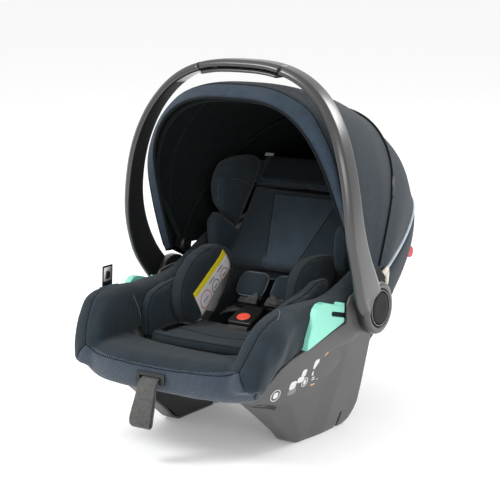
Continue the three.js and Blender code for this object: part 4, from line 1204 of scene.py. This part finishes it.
LABEL_RINGS = (  # along, across, radius, material
    (0.20, 0.60, 0.27, SIGNAL), (0.50, 0.62, 0.19, BLACK), (0.76, 0.62, 0.19, SIGNAL),
)
LABEL_BARS = (  # along, across, half length
    (0.20, 0.60, 0.07), (0.50, 0.62, 0.05), (0.76, 0.62, 0.05), (0.46, 0.32, 0.08), (0.72, 0.32, 0.08),
    (0.5, 0.93, 0.3),
)


def make_wing_label(tree):
    """A plain sewn label: a yellow strip beside a white field with simple marks."""
    corner, along, across = np.array((-74, -116, 212)), np.array((0, 90, 60)), np.array((0, 29, -45))
    spot = lambda u, v: corner + along * u + across * v

    def mark(name, spots, width, material, closed=False):
        line, ups = laid_on(tree, spots, 0.8)
        ride(sweep(name, line, flat(width, 0.3, 1), [material], up=ups, closed=closed), "seat", slot="dark_fabric")

    for name, v0, v1, material, lift in (("field", 0.2, 1, LABEL, 0.5), ("strip", 0, 0.2, YELLOW, 0.6)):
        rows = [[spot(u, v) for v in np.linspace(v0, v1, 14)] for u in np.linspace(0, 1, 26)]
        sheet = grid(f"wing_label_{name}", [laid_on(tree, row, lift)[0] for row in rows], [material])
        ride(modify(sheet, "SOLIDIFY", thickness=0.0005, offset=0), "seat", slot="dark_fabric")
    for i, (u, v, r, material) in enumerate(LABEL_RINGS):
        ring = [spot(u + r * 0.53 * math.cos(t), v + r * math.sin(t)) for t in full_turn(40)]
        mark(f"wing_label_ring_{i + 1}", ring, 1.6, material, closed=True)
    for i, (u, v, w) in enumerate(LABEL_BARS):
        mark(f"wing_label_bar_{i + 1}", [spot(mix(u - w, u + w, t), v) for t in np.linspace(0, 1, 8)], 1.8, BLACK)


def lift_seat_pad():
    """The insert's seat pad is fuller than its plain solid."""
    pad = soft_pieces["insert_pad"]
    for vertex in pad.data.vertices:
        if vertex.co.z > 0.145:
            vertex.co.z += 0.0055 * clamp((0.108 - abs(vertex.co.x)) / 0.02, 0, 1)
    lay_seams(pad, {"insert_pad_seam": [(x, -152 + 14 * abs(x) / 80, 160) for x in (-88, -50, 0, 50, 88)]})


LIP = [(0, -190, 154), (45, -189, 154), (78, -184, 153), (106, -170, 151), (126, -150, 149), (132, -128, 148)]


def make_insert_lip():
    """The insert's boxed front edge, which lies on the cover."""
    path = mirrored(LIP[:0:-1], -1) + LIP
    section = rounded([(-7.5, -10), (7.5, -10), (7.5, 10), (-7.5, 10)], 4.5, 5)
    lip = sweep("insert_front_lip", curve(path, 90), [(b, a) for a, b in section], [NAVY], up=(0, 0, 1))
    inflate(lip, 3.0, 3.0, 2.5, 12, even=4)
    ride(lip, "seat", slot="navy_fabric")
    tree = surface_of(lip)
    for name, lift in (("upper", 6.5), ("lower", -6)):
        line = [(x * 1.03, y - 8, z + lift) for x, y, z in curve(path, 30)]
        sew(f"insert_lip_seam_{name}", tree, line, CORDING, 0.9, 0.0, 120)


# ---------------- harness

def at_buckle(x, along, out):
    """A point of the buckle: across, up its face and out of it."""
    c, k = math.cos(math.radians(20)), math.sin(math.radians(20))
    return np.array((x, -72 + along * c - out * k, 180 + along * k + out * c))


BUCKLE_OUT = at_buckle(0, 0, 1) - at_buckle(0, 0, 0)
WEB_THICK = 1.8


def strap(name, node, path, width, up, count=60, material=WEB):
    ups = curve(up, count) if len(np.shape(up)) > 1 else up
    ride(sweep(name, curve(path, count), flat(width, WEB_THICK), [material], up=ups), "seat", node, slot="webbing")


SHOULDER_RUN = (  # up the back and out of it, then along the buckle and out of it
    (250, -22.5), (180, -22.5), (106, -22.5), (99, -20), (92, -9), (86, -0.5), (80, 0.5), (68, 0.5), (56, 0.5),
    (49, 2.5), (44, 9),
)
SHOULDER_END = ((44, -3), (38.5, -7.5), (37.5, -10.5))
LAP_RUN = ((26, 38, -14.4), (44, 36, -15.4), (62, 36, -21), (76.5, 38, -29))
PAD_RIM = [(14, 50), (54, 50), (61, 58), (61, 84), (54, 93), (14, 93), (7, 84), (7, 58)]
TONGUE = [(3, 4), (20, 4), (20, 29), (50, 31), (50, 46), (4, 46), (3, 44)]


def make_harness():
    for name, side in SIDES:
        path = [on_back(side * 31, up, out) for up, out in SHOULDER_RUN]
        path += [at_buckle(side * 27, along, out) for along, out in SHOULDER_END]
        up = [on_back(0, 0, 1) - on_back(0, 0, 0)] * len(path)
        strap(f"shoulder_webbing_{name}", f"shoulder_strap_{name}", path, 38, up, 90)
        lap = [at_buckle(side * x, along, out) for x, along, out in LAP_RUN]
        strap(f"lap_webbing_{name}", f"lap_strap_{name}", lap, 24, BUCKLE_OUT)
        pad = soft(f"shoulder_pad_cloth_{name}", f"shoulder_pad_{name}", NAVY, "light_navy_fabric", 2.6, 3.0)
        line = [on_back(side * x, up, 8) for x, up in rounded(PAD_RIM, 7, 4)]
        binding = f"shoulder_pad_binding_{name}"
        sew(binding, surface_of(pad), line, FINE_PIPING, 1.5, 0.3, 90, closed=True, slot="light_navy_fabric")
        place = lambda a, b, depth: at_buckle(side * a, b, depth)
        metal = plate(f"harness_tongue_plate_{name}", rounded(TONGUE, 3, 4), place, -8.4, -5.6, [DARK_STEEL], 0.5)
        ride(metal, "seat", f"harness_tongue_{name}", slot="steel")
    crotch = [at_buckle(0, -26.8, -7), (0, -98, 163), (0, -100.5, 152), (0, -101, 130), (0, -101, 92)]
    strap("crotch_webbing", "crotch_strap", crotch, 38, [(0, -0.7, 0.7), (0, -1, 0.2)] + [(0, -1, 0)] * 3)


def make_buckle():
    """Buckle shell with a raised oval frame, and its coral button."""
    outline = [(-23, -26), (23, -26), (23, 10), (17, 26), (-17, 26), (-23, 10)]
    body = plate("buckle_shell", rounded(outline, 7, 6), at_buckle, -14, 0, [BLACK], 2.4, 4)
    ride(body, "seat", "buckle_body", slot="black_plastic")
    ring = [at_buckle(13.4 * math.cos(t), -9 + 10.9 * math.sin(t), 0.2) for t in full_turn(48)]
    raised = sweep("buckle_frame", ring, circle(0.9, 8), [BLACK], up=BUCKLE_OUT, closed=True)
    ride(raised, "seat", slot="black_plastic")
    rings = []
    for scale, out in ((1, -3), (1, 0.4), (0.97, 1.0), (0.9, 1.4), (0.6, 1.2), (0.25, 1.0), (0.03, 1.0)):
        oval = ((12.2 * math.cos(t) * scale, 9.7 * math.sin(t) * scale) for t in full_turn(48))
        rings.append([at_buckle(a, -9 + b, out) for a, b in oval])
    ride(loft("buckle_press", rings, [CORAL]), "buckle_button", "buckle_button", slot="coral_plastic")


PULL_RUN = [
    (-294, 133), (-312, 133), (-326, 132.5), (-334, 127), (-338.5, 114), (-341.5, 96), (-343.5, 80), (-344.5, 70),
    (-343.5, 62), (-339, 57.5), (-334, 59), (-330.5, 66), (-330, 78), (-331.5, 96), (-333, 110), (-332, 121),
    (-327, 128),
]


def make_pull_strap():
    """The adjuster's pull: a doubled web that comes out of the cover's slot and ends in a loop."""
    points = [(-9 * smooth_step(130 - z, 0, 75), y, z) for y, z in PULL_RUN]
    strap("pull_webbing", "pull_strap", points, 32, outwards(points), 110, PULL_WEB)


def outwards(points):
    """Ways out of a strap that hangs in the YZ plane: to the left of its run."""
    ups = []
    for i in range(len(points)):
        a, b = points[max(i - 1, 0)], points[min(i + 1, len(points) - 1)]
        t = np.subtract(b, a)[1:]
        t = t / np.linalg.norm(t)
        ups.append((0, t[1], -t[0]))
    return ups


# ---------------- side panels

PANEL_FACE = [
    (0, 134), (8, 139), (36, 149), (49, 153), (88, 166), (128, 180), (157, 190), (173, 192), (200, 188), (240, 184),
]
PANEL_CREASE = [(0, -118), (9, -121), (49, -153), (86, -185), (94, -225), (102, -262), (128, -300)]
PANEL_RIDGE = [(-160, 140), (-124, 154), (-103, 161), (-39, 170), (-1, 165), (30, 160)]
PANEL_PULL = [(-275, 36), (-245, 25), (-220, 18), (-190, 13), (-150, 9), (-100, 5), (-60, 0)]
PANEL_OUTLINE = [
    (-255, 100), (-270, 103), (-264, 113), (-242, 127), (-228, 148), (-211, 159), (-193, 165), (-166, 171),
    (-116, 182), (-72, 191), (-68, 218), (-58, 230), (-30, 234), (0, 236), (22, 226), (30, 205), (22, 178),
    (8, 157), (14, 128), (18, 88), (26, 49), (28, 36), (25, 21), (16, 7), (6, 0), (-14, 0), (-14, 29), (-22, 29),
    (-22, 0), (-122, 0), (-136, 6), (-152, 21), (-170, 36), (-206, 64),
]


PANEL_GRID = 4.5
PANEL_WALL_END, PANEL_THICK, PANEL_EDGE_RADIUS = 0.1008, 0.0034, 0.0011  # metres
OPEN_Z, OPEN_FRONT_Y, OPEN_FRONT_Z = 152, -228, 101  # above these the panel's edge has no wall


def panel_x(y, z):
    """How far out a side panel's face is: its front strip turns in, and it dips below a ridge by the hub."""
    ahead = max(0.0, read(PANEL_CREASE, z) - y)
    below = read(PANEL_RIDGE, y) - z
    dip = 4.5 * smooth_step(below, 0, 9) * (1 - smooth_step(below, 20, 90)) * smooth_step(y, -150, -95)
    return read(PANEL_FACE, z) - read(PANEL_PULL, y) - min(0.42 * ahead, 22) - dip


def panel_surface():
    """Points (y, z) and triangles of a side panel's face."""
    edge = []
    corners = rounded(PANEL_OUTLINE, 5, 4)
    for a, b in zip(corners, corners[1:] + corners[:1]):
        steps = max(1, int(np.linalg.norm(b - a) / 4))
        edge += [tuple(mix(a, b, k / steps)) for k in range(steps)]
    ring = np.array(edge)
    lattice = [(y, z) for y in np.arange(-270, 32, PANEL_GRID) for z in np.arange(1, 238, PANEL_GRID)]
    inside = [p for p in lattice if np.linalg.norm(ring - p, axis=1).min() > 2.6]
    verts = [Vector(p) for p in edge + inside]
    found = delaunay_2d_cdt(verts, [], [list(range(len(edge)))], 1, 1e-5)
    return found[0], found[2]


def face_outwards(work, side, weigh):
    """Turns a sheet's faces away from the seat's middle."""
    bmesh.ops.recalc_face_normals(work, faces=work.faces)
    if sum(f.normal.x * (f.calc_area() if weigh else 1) for f in work.faces) * side < 0:
        bmesh.ops.reverse_faces(work, faces=work.faces)


def make_side_panels():
    places, faces = panel_surface()
    for name, side in SIDES:
        work = bmesh.new()
        verts = [work.verts.new(metres((side * panel_x(p.x, p.y), p.x, p.y))) for p in places]
        for face in faces:
            work.faces.new([verts[i] for i in (face if side > 0 else face[::-1])])
        face_outwards(work, side, False)
        turned_in = []
        for edge in work.edges:
            y, z = (sum((v.co for v in edge.verts), Vector()) / 2).yz * 1000
            if edge.is_boundary and not (z > OPEN_Z or (y - TO_MIDDLE < OPEN_FRONT_Y and z > OPEN_FRONT_Z)):
                turned_in.append(edge)
        for v in bmesh.ops.extrude_edge_only(work, edges=turned_in)["geom"]:
            if isinstance(v, bmesh.types.BMVert):
                v.co.x = side * PANEL_WALL_END
        face_outwards(work, side, True)
        panel = make(f"side_panel_shell_{name}", [], [], [GREY])
        work.to_mesh(panel.data)
        work.free()
        modify(panel, "SOLIDIFY", thickness=PANEL_THICK, offset=-1, use_even_offset=True)
        modify(panel, "BEVEL", width=PANEL_EDGE_RADIUS, segments=3, limit_method="ANGLE", angle_limit=math.radians(50))
        panel.data.shade_smooth()
        ride(panel, "seat", f"side_panel_{name}", slot="grey_plastic")
        make_panel_marks(name, side)


MARK_BAR = ((-236, 88), (-228, 86), (-216, 83), (-205, 80), (-199, 76))
MARK_RINGS = ((-222, 105, 9.5, 8.3), (-159, 113, 7.5, 6.3), (-123, 132, 8.5, 7.4))  # y, z, outer and inner radius
MARK_BLOBS = (  # y, z, half length, half height, material
    (-222, 105, 4.5, 5, MARK), (-159, 113, 3.2, 4, MARK), (-123, 132, 3.4, 2.4, MARK), (-142, 139, 6.5, 8, MARK),
    (-143, 124, 3, 4, MARK), (-168, 130, 5.5, 6, MARK), (-172, 120, 8, 5, MARK), (-188, 114, 7.5, 7, MARK),
    (-186, 103, 10, 5, GREY_PRINT_AND_HIGHLIGHT), (-120, 150, 4.5, 3.6, ORANGE), (-134, 103, 6, 1.2, ORANGE),
    (-137, 116, 5, 0.9, MARK), (-137, 112.5, 5, 0.9, MARK), (-124, 112, 2.4, 3, MARK),
)


def make_panel_marks(name, side):
    """Plain printed marks on a side panel: rings, dots and bars that say nothing."""
    on = lambda y, z: (side * (panel_x(y, z) + 0.25), y, z)

    def round_rows(y, z, a, b, scales, power, count):
        turns = np.linspace(0, math.tau, count)
        unit = [(a * signed_power(math.cos(t), power), b * signed_power(math.sin(t), power)) for t in turns]
        return [[on(y + k * u, z + k * v) for u, v in unit] for k in scales]

    shapes = [([[on(y, z + d) for y, z in MARK_BAR] for d in (-3.2, 0, 3.2)], BLACK)]
    for y, z, outer, inner in MARK_RINGS:
        shapes.append((round_rows(y, z, 1, 1, (inner, outer), 1, 41), MARK))
    for y, z, a, b, material in MARK_BLOBS:
        shapes.append((round_rows(y, z, a, b, (0.05, 0.5, 1), 0.6, 25), material))
    parts = [grid(f"panel_mark_{i}", rows, [material]) for i, (rows, material) in enumerate(shapes)]
    marks = joined(f"panel_marks_{name}", parts)
    ride(modify(marks, "SOLIDIFY", thickness=0.0003, offset=0), "seat", slot="grey_plastic")


TAG_LAYERS = (  # name, outline, corner radius, the depths of its faces, material, edge radius
    ("side_tag", [(-13, -9), (12, -9), (14, 27), (-11, 27)], 1.5, 0, 1.0, BLACK, 0.3),
    ("side_tag_field", [(-9.5, 2), (9.5, 2), (11, 24), (-8, 24)], 1, -0.3, 1.3, MARK, 0),
    ("side_tag_mark", [(-5.5, 5), (6, 6), (7, 16), (-2, 19), (-5, 14)], 1.5, -0.5, 1.5, BLACK, 0),
)
KNOB = [
    (0.4, 162.5), (4, 162.5), (4.6, 163.4), (5.4, 163.4), (6, 162.4), (10.5, 162.6), (12.4, 164), (13, 166.5),
    (13, 171.4), (0.4, 171.4),
]


def make_small_details():
    """A sewn tag on the far cushion, and the knobs of the canopy's pivots."""
    place = lambda a, b, depth: (-172 - depth, -212 + a, 237 + b)
    layers = [
        plate(name, rounded(outline, radius, 3), place, low, high, [material], bevel)
        for name, outline, radius, low, high, material, bevel in TAG_LAYERS
    ]
    ride(joined("side_tag", layers), "seat", slot="dark_fabric")
    for name, side in SIDES:
        ride(disc(f"canopy_knob_{name}", side, KNOB, BLACK, (CANOPY_Y, CANOPY_Z)), "seat", slot="black_plastic")


dress_back()
make_wings()
lift_seat_pad()
make_insert_lip()
make_side_panels()
make_small_details()
make_harness()
make_buckle()
make_pull_strap()
